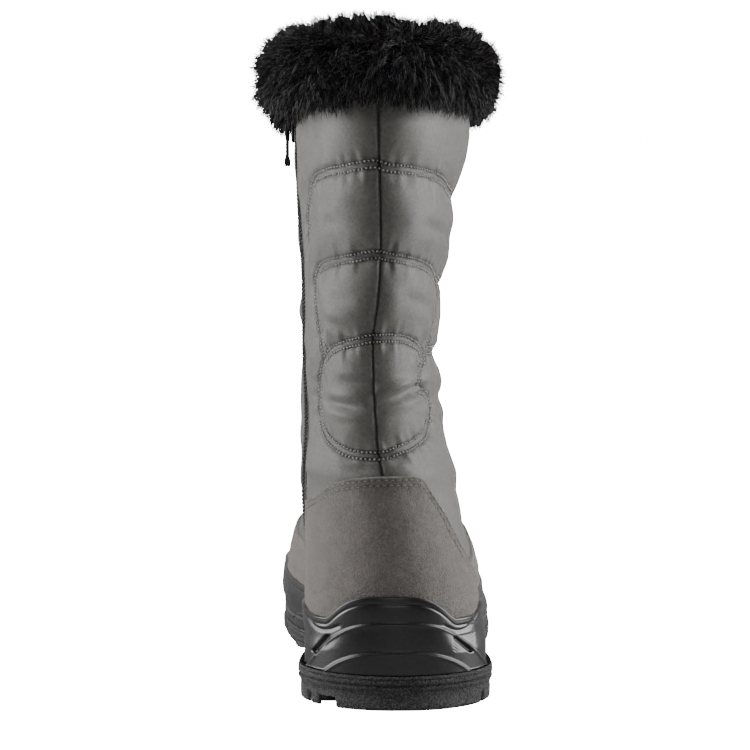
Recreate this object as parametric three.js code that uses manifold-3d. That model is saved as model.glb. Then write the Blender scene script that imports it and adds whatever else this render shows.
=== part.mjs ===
// A woman's right snow boot: quilted shaft, suede overlays, moulded rubber sole, fur cuff and inner zip.
// Millimetres. +Z is up, +Y runs to the toe, +X is the outer side of the foot.
// The origin is on the ground, under the middle of the heel.
import * as THREE from 'three';
import { mergeVertices } from 'three/addons/utils/BufferGeometryUtils.js';
import Module from 'manifold-3d';

const wasm = await Module();
wasm.setup();

// Sizes of the whole boot
const SOLE_LENGTH = 290;
const HEEL_WIDTH = 84;
const WAIST_WIDTH = 80;
const BALL_WIDTH = 107;
const HEEL_CENTRE = 34; // from the back of the sole to the middle of the heel lug
const ANKLE_HEIGHT = 134;
const SHAFT_HEIGHT = 150; // from the ankle up to the collar
const SHAFT_WIDTH = 73;
const SHAFT_DEPTH = 143;
const TOE_SPRING = 12;
const ARCH_LIFT = 3;

// Thicknesses
const WALL = 3; // lining, padding and nylon together
const OVERLAY = 1.5;
const PUFF = 2.6; // how far a quilted cell stands out
const RUBBER_EDGE = 2.9; // side of the rubber shell at its top edge
const OUTSOLE_HEEL = 15;
const OUTSOLE_BALL = 10;
const LIP_HEEL = 2.8; // how far the outsole's rim stands out under the shell
const LIP_BALL = 0.7;
const BUMPER_STEP = 1.1; // each of the two arcs moulded on the heel
const LUG_HEIGHT = 4.5;
const GROOVE_WIDTH = 5;
const INSOLE = 4;
const RAND_HEIGHT = 48; // top of the rubber at the back of the heel
const FUR_DEPTH = 19;
const FUR_HEIGHT = 37;
const FUR_SLIT = 1.6; // where the cuff parts over the zip

// Zip on the inner side
const ZIP_FROM_BACK = 60;
const COIL_WIDTH = 5;
const COIL_HEIGHT = 1.5;
const SLIDER_LENGTH = 10;
const SLIDER_WIDTH = 7;
const PULL_LENGTH = 16;
const PULL_WIDTH = 5.5;
const PULL_THICKNESS = 1.8;
const PULL_FOOT = 4;
const PIN_RADIUS = 0.6;

// Clearances
const GAP = 0.3;
const PIN_PLAY = 0.3;

// Heights that follow from these
const COLLAR_HEIGHT = ANKLE_HEIGHT + SHAFT_HEIGHT;
const CUFF_BOTTOM = COLLAR_HEIGHT - 0.75 * FUR_HEIGHT;
const ZIP_BOTTOM = 0.433 * ANKLE_HEIGHT;
const ZIP_TOP = CUFF_BOTTOM - GAP;

const COLUMNS = 56; // points round the boot, the same on every piece that follows the last

const { lerp, smoothstep, clamp } = THREE.MathUtils;

// The smooth curve through a table's rows; at counts rows
function alongTable(rows, at, column) {
  const i = clamp(Math.floor(at), 0, rows.length - 2);
  const f = at - i;
  const here = rows[i][column];
  const next = rows[i + 1][column];
  const before = i > 0 ? rows[i - 1][column] : 2 * here - next;
  const after = i < rows.length - 2 ? rows[i + 2][column] : 2 * next - here;
  const bend = 2 * before - 5 * here + 4 * next - after + f * (3 * here - before - 3 * next + after);
  return here + 0.5 * f * (next - before + f * bend);
}

// A smooth curve read at a share of the length, which the column named along holds
function atShare(rows, share, column) {
  let i = 0;
  while (i < rows.length - 2 && share > rows[i + 1].along) i += 1;
  const slope = (a, b) => (rows[b][column] - rows[a][column]) / (rows[b].along - rows[a].along);
  const width = rows[i + 1].along - rows[i].along;
  const f = (share - rows[i].along) / width;
  const enter = width * slope(Math.max(i - 1, 0), i + 1);
  const leave = width * slope(i, Math.min(i + 2, rows.length - 1));
  const rise = rows[i + 1][column] - rows[i][column];
  return rows[i][column] + f * (enter + f * (3 * rise - 2 * enter - leave + f * (enter + leave - 2 * rise)));
}

function table(names, ...rows) {
  return rows.map((row) => Object.fromEntries(names.map((name, i) => [name, row[i]])));
}

// How full a rounded end is, at a share of its length from the tip
function roundEnd(share) {
  return share >= 1 ? 1 : Math.sqrt(Math.max(0, 1 - (1 - share) ** 2));
}

// Share of the length from heel to toe at an angle round the boot; 0 is the toe and pi the heel
function lengthShare(angle) {
  return 0.5 + 0.5 * Math.cos(angle);
}

function angleAt(share, side) {
  const angle = Math.acos(clamp(2 * share - 1, -1, 1));
  return side > 0 ? angle : 2 * Math.PI - angle;
}

// The outer side is +1 and the inner side -1
function sideOf(angle) {
  return Math.sin(angle) >= 0 ? 1 : -1;
}

// Ground line: flat under heel and ball, lifted at the arch and the toe
function groundLine(share) {
  const arch = smoothstep(share, 0.27, 0.36) * (1 - smoothstep(share, 0.45, 0.54));
  const toe = Math.max(0, (share - 0.74) / 0.26);
  return ARCH_LIFT * arch + TOE_SPRING * toe ** 1.8;
}

function rimLine(share) {
  const spring = TOE_SPRING * Math.max(0, (share - 0.7) / 0.3) ** 1.8;
  return lerp(OUTSOLE_HEEL, OUTSOLE_BALL, smoothstep(share, 0.2, 0.6)) + spring;
}

// Plan of the sole: half widths as shares of the width that each row follows
const soleRows = table(
  ['along', 'width', 'medial', 'lateral'],
  [0.0, HEEL_WIDTH, 0.51, 0.505],
  [0.16, HEEL_WIDTH, 0.515, 0.502],
  [0.3, HEEL_WIDTH, 0.47, 0.47],
  [0.42, WAIST_WIDTH, 0.505, 0.53],
  [0.55, BALL_WIDTH, 0.475, 0.445],
  [0.68, BALL_WIDTH, 0.524, 0.476],
  [0.8, BALL_WIDTH, 0.485, 0.470],
  [0.9, BALL_WIDTH, 0.44, 0.45],
  [1.0, BALL_WIDTH, 0.41, 0.43],
).map((row) => ({ ...row, medial: row.medial * row.width, lateral: row.lateral * row.width }));
const SOLE_HEEL_ROUND = 0.125;
const SOLE_TOE_ROUND = 0.25;
const TOE_LEAN = 7; // the toe's tip lies to the inner side

// A point of the sole's outline, drawn in by an inset
function solePoint(angle, inset, height) {
  const share = lengthShare(angle);
  const side = sideOf(angle);
  const half = atShare(soleRows, share, side > 0 ? 'lateral' : 'medial');
  const ends = roundEnd(share / SOLE_HEEL_ROUND) * roundEnd((1 - share) / SOLE_TOE_ROUND);
  const length = SOLE_LENGTH - 2 * inset;
  const x = -TOE_LEAN * smoothstep(share, 0.55, 1) + side * ends * (half - inset);
  return new THREE.Vector3(x, inset + share * length - HEEL_CENTRE, height);
}

// Sections of the last from the sole's edge to the ankle. Heights are shares of the ankle height,
// places along the boot of the sole's length, widths of the heel's or ball's width, and the sway
// sideways of the ball's width. The two rounds are shares of the section's own length.
const footSections = table(
  ['backUp', 'frontUp', 'back', 'length', 'heelIn', 'heelOut', 'ballIn', 'ballOut',
    'backSway', 'frontSway', 'heelRound', 'toeRound', 'sag', 'waist'],
  [0.166, 0.190, 0.031, 0.931, 0.417, 0.390, 0.440, 0.408, 0.000, -0.065, 0.14, 0.25, 0.052, 0.092],
  [0.224, 0.254, 0.022, 0.950, 0.446, 0.415, 0.461, 0.443, 0.000, -0.065, 0.14, 0.25, 0.045, 0.098],
  [0.299, 0.328, 0.019, 0.946, 0.455, 0.425, 0.450, 0.440, -0.003, -0.065, 0.145, 0.255, 0.037, 0.088],
  [0.373, 0.405, 0.021, 0.930, 0.452, 0.420, 0.424, 0.412, -0.007, -0.065, 0.155, 0.27, 0.022, 0.062],
  [0.448, 0.468, 0.024, 0.889, 0.446, 0.409, 0.395, 0.374, -0.014, -0.065, 0.18, 0.31, 0.007, 0.036],
  [0.530, 0.520, 0.029, 0.815, 0.440, 0.396, 0.368, 0.334, -0.023, -0.065, 0.20, 0.36, 0.0, 0.014],
  [0.619, 0.575, 0.034, 0.725, 0.432, 0.395, 0.350, 0.304, -0.036, -0.065, 0.24, 0.43, 0.0, 0.0],
  [0.709, 0.645, 0.039, 0.634, 0.417, 0.382, 0.335, 0.289, -0.051, -0.070, 0.29, 0.49, 0.0, 0.0],
  [0.799, 0.744, 0.042, 0.552, 0.396, 0.352, 0.314, 0.273, -0.068, -0.075, 0.36, 0.51, 0.0, 0.0],
  [0.896, 0.862, 0.043, 0.491, 0.376, 0.337, 0.295, 0.264, -0.084, -0.084, 0.45, 0.50, 0.0, 0.0],
).map((row) => ({
  backUp: row.backUp * ANKLE_HEIGHT,
  frontUp: row.frontUp * ANKLE_HEIGHT,
  back: row.back * SOLE_LENGTH,
  length: row.length * SOLE_LENGTH,
  heelIn: row.heelIn * HEEL_WIDTH,
  heelOut: row.heelOut * HEEL_WIDTH,
  ballIn: row.ballIn * BALL_WIDTH,
  ballOut: row.ballOut * BALL_WIDTH,
  backSway: row.backSway * BALL_WIDTH,
  frontSway: row.frontSway * BALL_WIDTH,
  heelRound: row.heelRound,
  toeRound: row.toeRound,
  sag: row.sag * ANKLE_HEIGHT,
  waist: row.waist * HEEL_WIDTH,
}));

// Level sections of the shaft. Heights are shares of the shaft's height above the ankle, places
// and depths of its depth, widths and sway of its width.
const shaftSections = table(
  ['up', 'back', 'depth', 'medial', 'lateral', 'sway'],
  [0.000, 0.088, 0.924, 0.425, 0.390, -0.137],
  [0.110, 0.081, 0.902, 0.427, 0.384, -0.141],
  [0.230, 0.070, 0.895, 0.438, 0.381, -0.129],
  [0.350, 0.053, 0.916, 0.459, 0.384, -0.110],
  [0.475, 0.035, 0.944, 0.480, 0.418, -0.104],
  [0.610, 0.018, 0.972, 0.490, 0.466, -0.108],
  [0.740, 0.007, 0.993, 0.490, 0.525, -0.111],
  [0.870, 0.003, 1.000, 0.495, 0.535, -0.112],
  [1.000, 0.003, 1.000, 0.495, 0.520, -0.112],
).map((row) => ({
  backUp: ANKLE_HEIGHT + row.up * SHAFT_HEIGHT,
  frontUp: ANKLE_HEIGHT + row.up * SHAFT_HEIGHT,
  back: row.back * SHAFT_DEPTH,
  length: row.depth * SHAFT_DEPTH,
  heelIn: row.medial * SHAFT_WIDTH,
  heelOut: row.lateral * SHAFT_WIDTH,
  ballIn: row.medial * SHAFT_WIDTH,
  ballOut: row.lateral * SHAFT_WIDTH,
  backSway: row.sway * SHAFT_WIDTH,
  frontSway: row.sway * SHAFT_WIDTH,
  heelRound: 0.5,
  toeRound: 0.5,
  sag: 0,
  waist: 0,
}));

const sections = [...footSections, ...shaftSections];
const COLLAR = sections.length - 1;

// A point of the last's surface: angle goes round the boot, level counts sections upward
function lastPoint(angle, level) {
  const read = (column) => alongTable(sections, level, column);
  const share = lengthShare(angle);
  const side = sideOf(angle);
  const toBall = smoothstep(share, 0.22, 0.66);
  const heel = read(side > 0 ? 'heelOut' : 'heelIn');
  const ball = read(side > 0 ? 'ballOut' : 'ballIn');
  const ends = roundEnd(share / read('heelRound')) * roundEnd((1 - share) / read('toeRound'));
  const sway = lerp(read('backSway'), read('frontSway'), smoothstep(share, 0, 1));
  const dip = read('sag') * Math.sin(Math.PI * share ** 1.35);
  const arch = smoothstep(share, 0.15, 0.4) * (1 - smoothstep(share, 0.4, 0.65));
  const waist = arch * read('waist') * (side > 0 ? 0.25 : 1);
  return new THREE.Vector3(
    sway + side * ends * (lerp(heel, ball, toBall) - waist),
    read('back') + share * read('length') - HEEL_CENTRE,
    lerp(read('backUp'), read('frontUp'), share) - dip,
  );
}

const STEP = 0.02;

function lastNormal(angle, level) {
  const low = clamp(level - STEP, 0, COLLAR);
  const high = clamp(level + STEP, 0, COLLAR);
  const round = lastPoint(angle + STEP, level).sub(lastPoint(angle - STEP, level));
  const up = lastPoint(angle, high).sub(lastPoint(angle, low));
  return round.cross(up).negate().normalize();
}

// The last's surface pushed out by an offset
function offLast(angle, level, offset) {
  return lastPoint(angle, level).addScaledVector(lastNormal(angle, level), offset);
}

// Level at which a column of the last passes a height
function levelAt(angle, height) {
  let low = 0;
  let high = COLLAR;
  for (let i = 0; i < 30; i += 1) {
    const middle = (low + high) / 2;
    if (lastPoint(angle, middle).z < height) low = middle;
    else high = middle;
  }
  return low;
}

// Height of the foot's bed at a place along the boot
function bedHeight(y) {
  const row = sections[0];
  const share = clamp((y + HEEL_CENTRE - row.back) / row.length, 0, 1);
  return lastPoint(angleAt(share, 1), 0).z;
}

// Quilting seams round the shaft: height at the back and drop towards the sides
const quiltSeams = table(
  ['up', 'drop'],
  [-0.22, 0.06],
  [0.14, 0.02],
  [0.393, 0.05],
  [0.645, 0.055],
  [0.92, 0.02],
).map((row) => ({ height: ANKLE_HEIGHT + row.up * SHAFT_HEIGHT, drop: row.drop * SHAFT_HEIGHT }));

// How far the quilting stands out of the last
function quiltPuff(angle, level) {
  const point = lastPoint(angle, level);
  const aside = smoothstep(lengthShare(angle), 0.02, 0.3);
  const heights = quiltSeams.map((seam) => seam.height - seam.drop * aside);
  for (let i = 0; i < heights.length - 1; i += 1) {
    const share = (point.z - heights[i]) / (heights[i + 1] - heights[i]);
    const besideZip = sideOf(angle) < 0 ? Math.abs(point.y + HEEL_CENTRE - ZIP_FROM_BACK) : SOLE_LENGTH;
    const flat = smoothstep(besideZip, COIL_WIDTH, 4 * COIL_WIDTH);
    if (share > 0 && share < 1) return flat * PUFF * (4 * share * (1 - share)) ** 0.85;
  }
  return 0;
}

const angles = Array.from({ length: COLUMNS }, (_, j) => (2 * Math.PI * j) / COLUMNS);

function ring(pointAt) {
  return angles.map((angle) => pointAt(angle));
}

function spread(count, from, to) {
  return Array.from({ length: count }, (_, i) => lerp(from, to, i / (count - 1)));
}

// Skins rings of points; the rings may close on themselves, or end in bridged caps.
// Rings run against the clock seen from below, so upward rings face out.
function skin(rings, closed, capped) {
  const width = rings[0].length;
  const positions = rings.flat().flatMap((p) => [p.x, p.y, p.z]);
  const index = [];
  const last = closed ? rings.length : rings.length - 1;
  for (let i = 0; i < last; i += 1) {
    const next = (i + 1) % rings.length;
    for (let j = 0; j < width; j += 1) {
      const k = (j + 1) % width;
      const [a, b, c, d] = [i * width + j, i * width + k, next * width + k, next * width + j];
      index.push(a, c, b, a, d, c);
    }
  }
  if (capped) {
    const top = (rings.length - 1) * width;
    for (let j = 0; j < width / 2; j += 1) {
      const [a, b, c, d] = [j, j + 1, width - j - 1, (width - j) % width];
      if (a !== d) index.push(a, b, d, top + a, top + d, top + b);
      if (b !== c) index.push(b, c, d, top + b, top + d, top + c);
    }
  }
  const geometry = new THREE.BufferGeometry();
  geometry.setAttribute('position', new THREE.Float32BufferAttribute(positions, 3));
  geometry.setIndex(index);
  return mergeVertices(geometry, 1e-4);
}

function toSolid(geometry) {
  const bare = geometry.clone();
  bare.deleteAttribute('normal');
  bare.deleteAttribute('uv');
  const merged = mergeVertices(bare, 1e-4);
  return new wasm.Manifold(new wasm.Mesh({
    numProp: 3,
    vertProperties: new Float32Array(merged.attributes.position.array),
    triVerts: new Uint32Array(merged.index.array),
  }));
}

function toGeometry(solid) {
  const mesh = solid.getMesh();
  const geometry = new THREE.BufferGeometry();
  geometry.setAttribute('position', new THREE.BufferAttribute(mesh.vertProperties, 3));
  geometry.setIndex(new THREE.BufferAttribute(mesh.triVerts, 1));
  return geometry;
}

const boot = new THREE.Group();

function place(name, geometry, material, parent = boot) {
  const mesh = new THREE.Mesh(geometry, material);
  mesh.name = name;
  parent.add(mesh);
  return mesh;
}

const nylon = new THREE.MeshStandardMaterial({ color: '#6f6d69', roughness: 0.55, metalness: 0 });
const suede = new THREE.MeshStandardMaterial({ color: '#77716c', roughness: 0.95, metalness: 0 });
const rubber = new THREE.MeshStandardMaterial({ color: '#1b1b1c', roughness: 0.35, metalness: 0 });
const tread = new THREE.MeshStandardMaterial({ color: '#2a2a2b', roughness: 0.85, metalness: 0 });
const fur = new THREE.MeshStandardMaterial({ color: '#0c0b0b', roughness: 1, metalness: 0 });
const felt = new THREE.MeshStandardMaterial({ color: '#2f2e2d', roughness: 1, metalness: 0 });
const coil = new THREE.MeshStandardMaterial({ color: '#242425', roughness: 0.5, metalness: 0 });
const metal = new THREE.MeshStandardMaterial({ color: '#2b2b2d', roughness: 0.4, metalness: 0.7 });

// Upper: one wall, open at the collar and along the sole's bed
function makeUpper() {
  const ankle = footSections.length - 2;
  const outerLevels = [...spread(11, 0, ankle), ...spread(18, ankle + 0.5, COLLAR)];
  const innerLevels = spread(9, COLLAR, 0);
  const outer = outerLevels.map((level) => ring((angle) => offLast(angle, level, quiltPuff(angle, level))));
  const inner = innerLevels.map((level) => ring((angle) => offLast(angle, level, -WALL)));
  inner[0].forEach((point) => { point.z = COLLAR_HEIGHT; });
  inner.at(-1).forEach((point) => { point.z = bedHeight(point.y); });
  return skin([...outer, ...inner], true, false);
}

// Outsole: ribbed rim, with the tread's lugs left between cut grooves
const rimRibs = table(
  ['inset', 'below'],
  [0.7, 6.5],
  [0.2, 5.0],
  [1.3, 4.2],
  [0.0, 3.2],
  [0.0, 1.0],
  [0.8, 0.0],
);

function grooveBox(x, share, width, length, turn) {
  const slope = Math.atan2(groundLine(share + 0.02) - groundLine(share - 0.02), 0.04 * SOLE_LENGTH);
  const box = new THREE.BoxGeometry(width, length, 2 * LUG_HEIGHT);
  box.rotateZ(turn);
  box.rotateX(slope);
  box.translate(x, share * SOLE_LENGTH - HEEL_CENTRE, groundLine(share));
  return toSolid(box);
}

// Side grooves: where along the sole, and how far each turns from straight across
const sideGrooves = table(
  ['along', 'turn'],
  [0.065, -0.1],
  [0.175, 0.1],
  [0.235, 0.15],
  [0.560, 0.25],
  [0.625, 0.25],
  [0.690, 0.25],
  [0.755, 0.25],
  [0.820, 0.3],
  [0.885, 0.35],
);
const CENTRE_STRIP = 15; // half the width of the lugs down the middle

function makeOutsole() {
  const base = (angle) => groundLine(lengthShare(angle));
  const rim = (angle) => rimLine(lengthShare(angle));
  const rings = [
    ring((angle) => solePoint(angle, 2, base(angle))),
    ring((angle) => solePoint(angle, 0.8, base(angle) + 0.5 * LUG_HEIGHT)),
    ...rimRibs.map((rib) => ring((angle) => solePoint(angle, rib.inset, rim(angle) - rib.below))),
  ];
  let solid = toSolid(skin(rings, false, true));
  const reach = 0.25 * BALL_WIDTH;
  for (const groove of sideGrooves) {
    for (const side of [-1, 1]) {
      const x = side * (CENTRE_STRIP + reach);
      solid = solid.subtract(grooveBox(x, groove.along, 2 * reach, GROOVE_WIDTH, side * groove.turn));
    }
  }
  const channels = [[0.155, 0.18], [0.625, 0.19], [0.775, 0.11], [0.87, 0.08]];
  for (const [along, length] of channels) {
    for (const side of [-1, 1]) {
      const x = side * CENTRE_STRIP;
      solid = solid.subtract(grooveBox(x, along, 0.7 * GROOVE_WIDTH, length * SOLE_LENGTH, 0));
    }
  }
  for (const along of [0.59, 0.66, 0.735, 0.8]) {
    solid = solid.subtract(grooveBox(0, along, 2 * CENTRE_STRIP, 0.8 * GROOVE_WIDTH, 0));
  }
  solid = solid.subtract(grooveBox(-0.35 * HEEL_WIDTH, 0.02, 1.2 * GROOVE_WIDTH, 0.08 * SOLE_LENGTH, 0));
  return toGeometry(solid);
}

// Top edge of the rubber shell, as shares of its height at the back: an arch over the heel,
// a dip at each corner, a horn, and a low line along the sides up to the toe
const randTop = table(
  ['along', 'medial', 'lateral'],
  [0.000, 1.00, 1.00],
  [0.012, 0.98, 0.98],
  [0.024, 0.93, 0.94],
  [0.045, 0.79, 0.83],
  [0.075, 0.69, 0.75],
  [0.100, 0.72, 0.77],
  [0.140, 0.79, 0.82],
  [0.220, 0.78, 0.75],
  [0.350, 0.73, 0.65],
  [0.500, 0.69, 0.61],
  [0.680, 0.79, 0.65],
  [0.850, 0.82, 0.78],
  [1.000, 0.88, 0.88],
);

function randHeight(angle) {
  return RAND_HEIGHT * atShare(randTop, lengthShare(angle), sideOf(angle) > 0 ? 'lateral' : 'medial');
}

// An arch moulded on the heel: its height at a distance from the middle
function heelArch(x, foot, top, reach) {
  return lerp(foot, top, Math.max(0, 1 - Math.abs(x / reach) ** 3.3));
}

function bumperRelief(point, share) {
  const outer = heelArch(point.x, OUTSOLE_HEEL, 0.775 * RAND_HEIGHT, 0.46 * HEEL_WIDTH);
  const inner = heelArch(point.x, OUTSOLE_HEEL, 0.515 * RAND_HEIGHT, 0.36 * HEEL_WIDTH);
  const steps = smoothstep(outer - point.z, -0.7, 0.7) + smoothstep(inner - point.z, -0.7, 0.7);
  return BUMPER_STEP * steps * (1 - smoothstep(share, 0.08, 0.15));
}

function shellPoint(angle, share) {
  const along = lengthShare(angle);
  const height = lerp(rimLine(along) + GAP, randHeight(angle), share);
  const lip = lerp(LIP_HEEL, LIP_BALL, smoothstep(along, 0.25, 0.5));
  const low = solePoint(angle, lip, height);
  low.copy(solePoint(angle, lip - bumperRelief(low, along), height));
  const level = levelAt(angle, height);
  const high = offLast(angle, level, GAP + RUBBER_EDGE);
  const wall = low.clone().sub(lastPoint(angle, level)).dot(lastNormal(angle, level));
  const point = low.lerp(high, wall < GAP + RUBBER_EDGE ? 1 : smoothstep(share, 0.35, 1));
  point.z = height;
  return point;
}

// Sole shell: a rubber cup that holds the bottom of the upper
function makeSoleShell() {
  const outside = spread(12, 0, 1).map((share) => ring((angle) => shellPoint(angle, share)));
  const inside = spread(6, 1, 0).map((share) => ring((angle) => {
    const point = offLast(angle, share * levelAt(angle, randHeight(angle)), GAP);
    if (share === 1) point.z = randHeight(angle);
    if (share === 0) point.z = bedHeight(point.y) - GAP;
    return point;
  }));
  return skin([...outside, ...inside], false, true);
}

function makeInsole() {
  const edge = (rise) => ring((angle) => {
    const point = offLast(angle, 0, -WALL - 2 * GAP);
    point.z = bedHeight(point.y) + rise;
    return point;
  });
  return skin([edge(0), edge(INSOLE)], false, true);
}

// A patch laid on the upper: its columns follow angles, and each has its own low and high edge
function makeOverlay(columnAngles, lowEdge, highEdge, rows, thickness) {
  const rings = columnAngles.map((angle) => {
    const levels = spread(rows, levelAt(angle, lowEdge(angle)), levelAt(angle, highEdge(angle)));
    const puffed = (level) => quiltPuff(angle, level) + 1.4 * GAP;
    const back = levels.map((level) => offLast(angle, level, puffed(level)));
    const front = levels.map((level) => offLast(angle, level, puffed(level) + thickness));
    return [...front, ...back.reverse()];
  });
  return skinStrip(rings, false);
}

// Skins a row of closed sections. Each end is closed by a fan from a section's first point, or by
// a strip where the section is long and thin.
function skinStrip(rings, fan) {
  const width = rings[0].length;
  const positions = rings.flat().flatMap((p) => [p.x, p.y, p.z]);
  const index = [];
  for (let i = 0; i < rings.length - 1; i += 1) {
    for (let j = 0; j < width; j += 1) {
      const k = (j + 1) % width;
      const [a, b, c, d] = [i * width + j, i * width + k, (i + 1) * width + k, (i + 1) * width + j];
      index.push(a, b, c, a, c, d);
    }
  }
  const end = (rings.length - 1) * width;
  for (let j = 0; !fan && j < width / 2 - 1; j += 1) {
    const [a, b, c, d] = [j, j + 1, width - j - 2, width - j - 1];
    index.push(a, c, b, a, d, c, end + a, end + b, end + c, end + a, end + c, end + d);
  }
  for (let j = 1; fan && j < width - 1; j += 1) {
    index.push(0, j + 1, j, end, end + j, end + j + 1);
  }
  const geometry = new THREE.BufferGeometry();
  geometry.setAttribute('position', new THREE.Float32BufferAttribute(positions, 3));
  geometry.setIndex(index);
  return geometry;
}

// Top edge of the suede counter, as shares of the ankle height
const counterTop = table(
  ['along', 'medial', 'lateral'],
  [0.00, 0.738, 0.738],
  [0.05, 0.715, 0.720],
  [0.10, 0.680, 0.680],
  [0.13, 0.660, 0.610],
  [0.16, 0.645, 0.520],
  [0.19, 0.635, 0.430],
  [0.22, 0.630, 0.350],
);
const COUNTER_MEDIAL = (ZIP_FROM_BACK - COIL_WIDTH) / SOLE_LENGTH;
const COUNTER_LATERAL = 0.215;

function columnsBetween(from, to) {
  const inside = angles.filter((angle) => angle > from + 0.02 && angle < to - 0.02);
  return [from, ...inside, to];
}

function makeCounter() {
  const top = (angle) => ANKLE_HEIGHT * atShare(
    counterTop,
    lengthShare(angle),
    sideOf(angle) > 0 ? 'lateral' : 'medial',
  );
  const low = (angle) => randHeight(angle) + 2.5 * GAP;
  const columns = columnsBetween(angleAt(COUNTER_LATERAL, 1), angleAt(COUNTER_MEDIAL, -1));
  return makeOverlay(columns, low, top, 8, OVERLAY);
}

// Top edge of the suede round the toe and sides, as shares of the ankle height
const mudguardTop = table(
  ['along', 'medial', 'lateral'],
  [0.00, 0.43, 0.36],
  [0.20, 0.43, 0.36],
  [0.35, 0.41, 0.34],
  [0.50, 0.41, 0.35],
  [0.65, 0.43, 0.38],
  [0.80, 0.46, 0.44],
  [0.90, 0.49, 0.485],
  [1.00, 0.51, 0.51],
);
const OVERLAY_JOINT = 0.004;

function makeMudguard() {
  const top = (angle) => ANKLE_HEIGHT * atShare(
    mudguardTop,
    lengthShare(angle),
    sideOf(angle) > 0 ? 'lateral' : 'medial',
  );
  const low = (angle) => randHeight(angle) + 2.5 * GAP;
  const medialEnd = angleAt(COUNTER_MEDIAL + OVERLAY_JOINT, -1) - 2 * Math.PI;
  const lateralEnd = angleAt(COUNTER_LATERAL + OVERLAY_JOINT, 1);
  const wrapped = angles.map((angle) => (angle > Math.PI ? angle - 2 * Math.PI : angle)).sort((a, b) => a - b);
  const inside = wrapped.filter((angle) => angle > medialEnd + 0.02 && angle < lateralEnd - 0.02);
  return makeOverlay([medialEnd, ...inside, lateralEnd], low, top, 6, OVERLAY);
}

// Angle of the zip's line on the inner side
function zipAngle(level) {
  const back = alongTable(sections, level, 'back');
  const length = alongTable(sections, level, 'length');
  return angleAt((ZIP_FROM_BACK - back) / length, -1);
}

function zipPoint(height, offset) {
  let level = levelAt(1.5 * Math.PI, height);
  for (let i = 0; i < 6; i += 1) level = levelAt(zipAngle(level), height);
  const angle = zipAngle(level);
  return {
    point: offLast(angle, level, quiltPuff(angle, level) + offset),
    out: lastNormal(angle, level),
  };
}

// Zip coil: a low ridge up the inner side
function makeZipChain() {
  const half = COIL_WIDTH / 2;
  const profile = [
    [-half, 0],
    [half, 0],
    [0.8 * half, 0.75 * COIL_HEIGHT],
    [0.35 * half, COIL_HEIGHT],
    [-0.35 * half, COIL_HEIGHT],
    [-0.8 * half, 0.75 * COIL_HEIGHT],
  ];
  const up = new THREE.Vector3(0, 0, 1);
  const rings = spread(30, ZIP_BOTTOM, ZIP_TOP).map((height) => {
    const { point, out } = zipPoint(height, 1.6 * GAP);
    const across = new THREE.Vector3().crossVectors(out, up).normalize();
    return profile.map(([a, b]) => point.clone().addScaledVector(across, a).addScaledVector(out, b));
  });
  return skinStrip(rings, false);
}

const slider = new THREE.Group();
const SLIDER_HEIGHT = ZIP_TOP - 0.5 * SLIDER_LENGTH - 1;
const EAR = 1.1;
const EYE_RADIUS = PIN_RADIUS + PIN_PLAY + 0.7;
const PLATE = 1.2;
const PIN_OUT = PLATE + EYE_RADIUS + GAP; // from the plate's back to the pin
const EYE_WIDTH = 3.4;

// Slider: a plate over the coil, with two ears and the pin of the pull tab
function makeSlider() {
  const plate = new THREE.BoxGeometry(PLATE, SLIDER_WIDTH, SLIDER_LENGTH);
  plate.translate(PLATE / 2, 0, 0);
  let solid = toSolid(plate);
  for (const side of [-1, 1]) {
    const ear = new THREE.BoxGeometry(PIN_OUT + 1.4 * PIN_RADIUS, EAR, 0.36 * SLIDER_LENGTH);
    ear.translate((PIN_OUT + 1.4 * PIN_RADIUS) / 2, side * (EYE_WIDTH / 2 + GAP + EAR / 2), 0.2 * SLIDER_LENGTH);
    solid = solid.add(toSolid(ear));
  }
  const pin = new THREE.CylinderGeometry(PIN_RADIUS, PIN_RADIUS, EYE_WIDTH + 2 * GAP + EAR, 12);
  pin.translate(PIN_OUT, 0, 0.2 * SLIDER_LENGTH);
  return toGeometry(solid.add(toSolid(pin)));
}

// Pull tab: an eye round the pin, a thin blade and a thicker foot
function makePull() {
  const outline = new THREE.Shape();
  const half = PULL_THICKNESS / 2;
  const start = Math.asin(half / EYE_RADIUS);
  outline.absarc(0, 0, EYE_RADIUS, -Math.PI / 2 + start, 1.5 * Math.PI - start, false);
  outline.lineTo(-half, -PULL_LENGTH);
  outline.lineTo(half, -PULL_LENGTH);
  outline.closePath();
  const hole = new THREE.Path();
  hole.absarc(0, 0, PIN_RADIUS + PIN_PLAY, 0, 2 * Math.PI, true);
  outline.holes.push(hole);
  const neck = new THREE.ExtrudeGeometry(outline, { depth: EYE_WIDTH, bevelEnabled: false, curveSegments: 10 });
  neck.translate(0, 0, -EYE_WIDTH / 2);
  neck.rotateX(Math.PI / 2);
  const neckEnd = EYE_RADIUS + 0.75 * PULL_FOOT;
  const blade = new THREE.BoxGeometry(PULL_THICKNESS, PULL_WIDTH, PULL_LENGTH - neckEnd);
  blade.translate(0, 0, -0.5 * (PULL_LENGTH + neckEnd));
  const foot = new THREE.BoxGeometry(1.5 * PULL_THICKNESS, 1.1 * PULL_WIDTH, PULL_FOOT);
  foot.translate(0, 0, 0.25 * PULL_FOOT - PULL_LENGTH);
  return toGeometry(toSolid(neck).add(toSolid(blade)).add(toSolid(foot)));
}

// Fur cuff: section as shares of its depth outward and of its height above its lower edge
const cuffSection = table(
  ['out', 'up'],
  [0.00, 0.04],
  [0.42, 0.00],
  [0.80, 0.12],
  [1.00, 0.37],
  [0.98, 0.66],
  [0.72, 0.88],
  [0.30, 1.00],
);

function cuffPoint(angle, out, height) {
  const level = levelAt(angle, Math.min(height, COLLAR_HEIGHT));
  const point = offLast(angle, level, out);
  point.z = height;
  return point;
}

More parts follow.
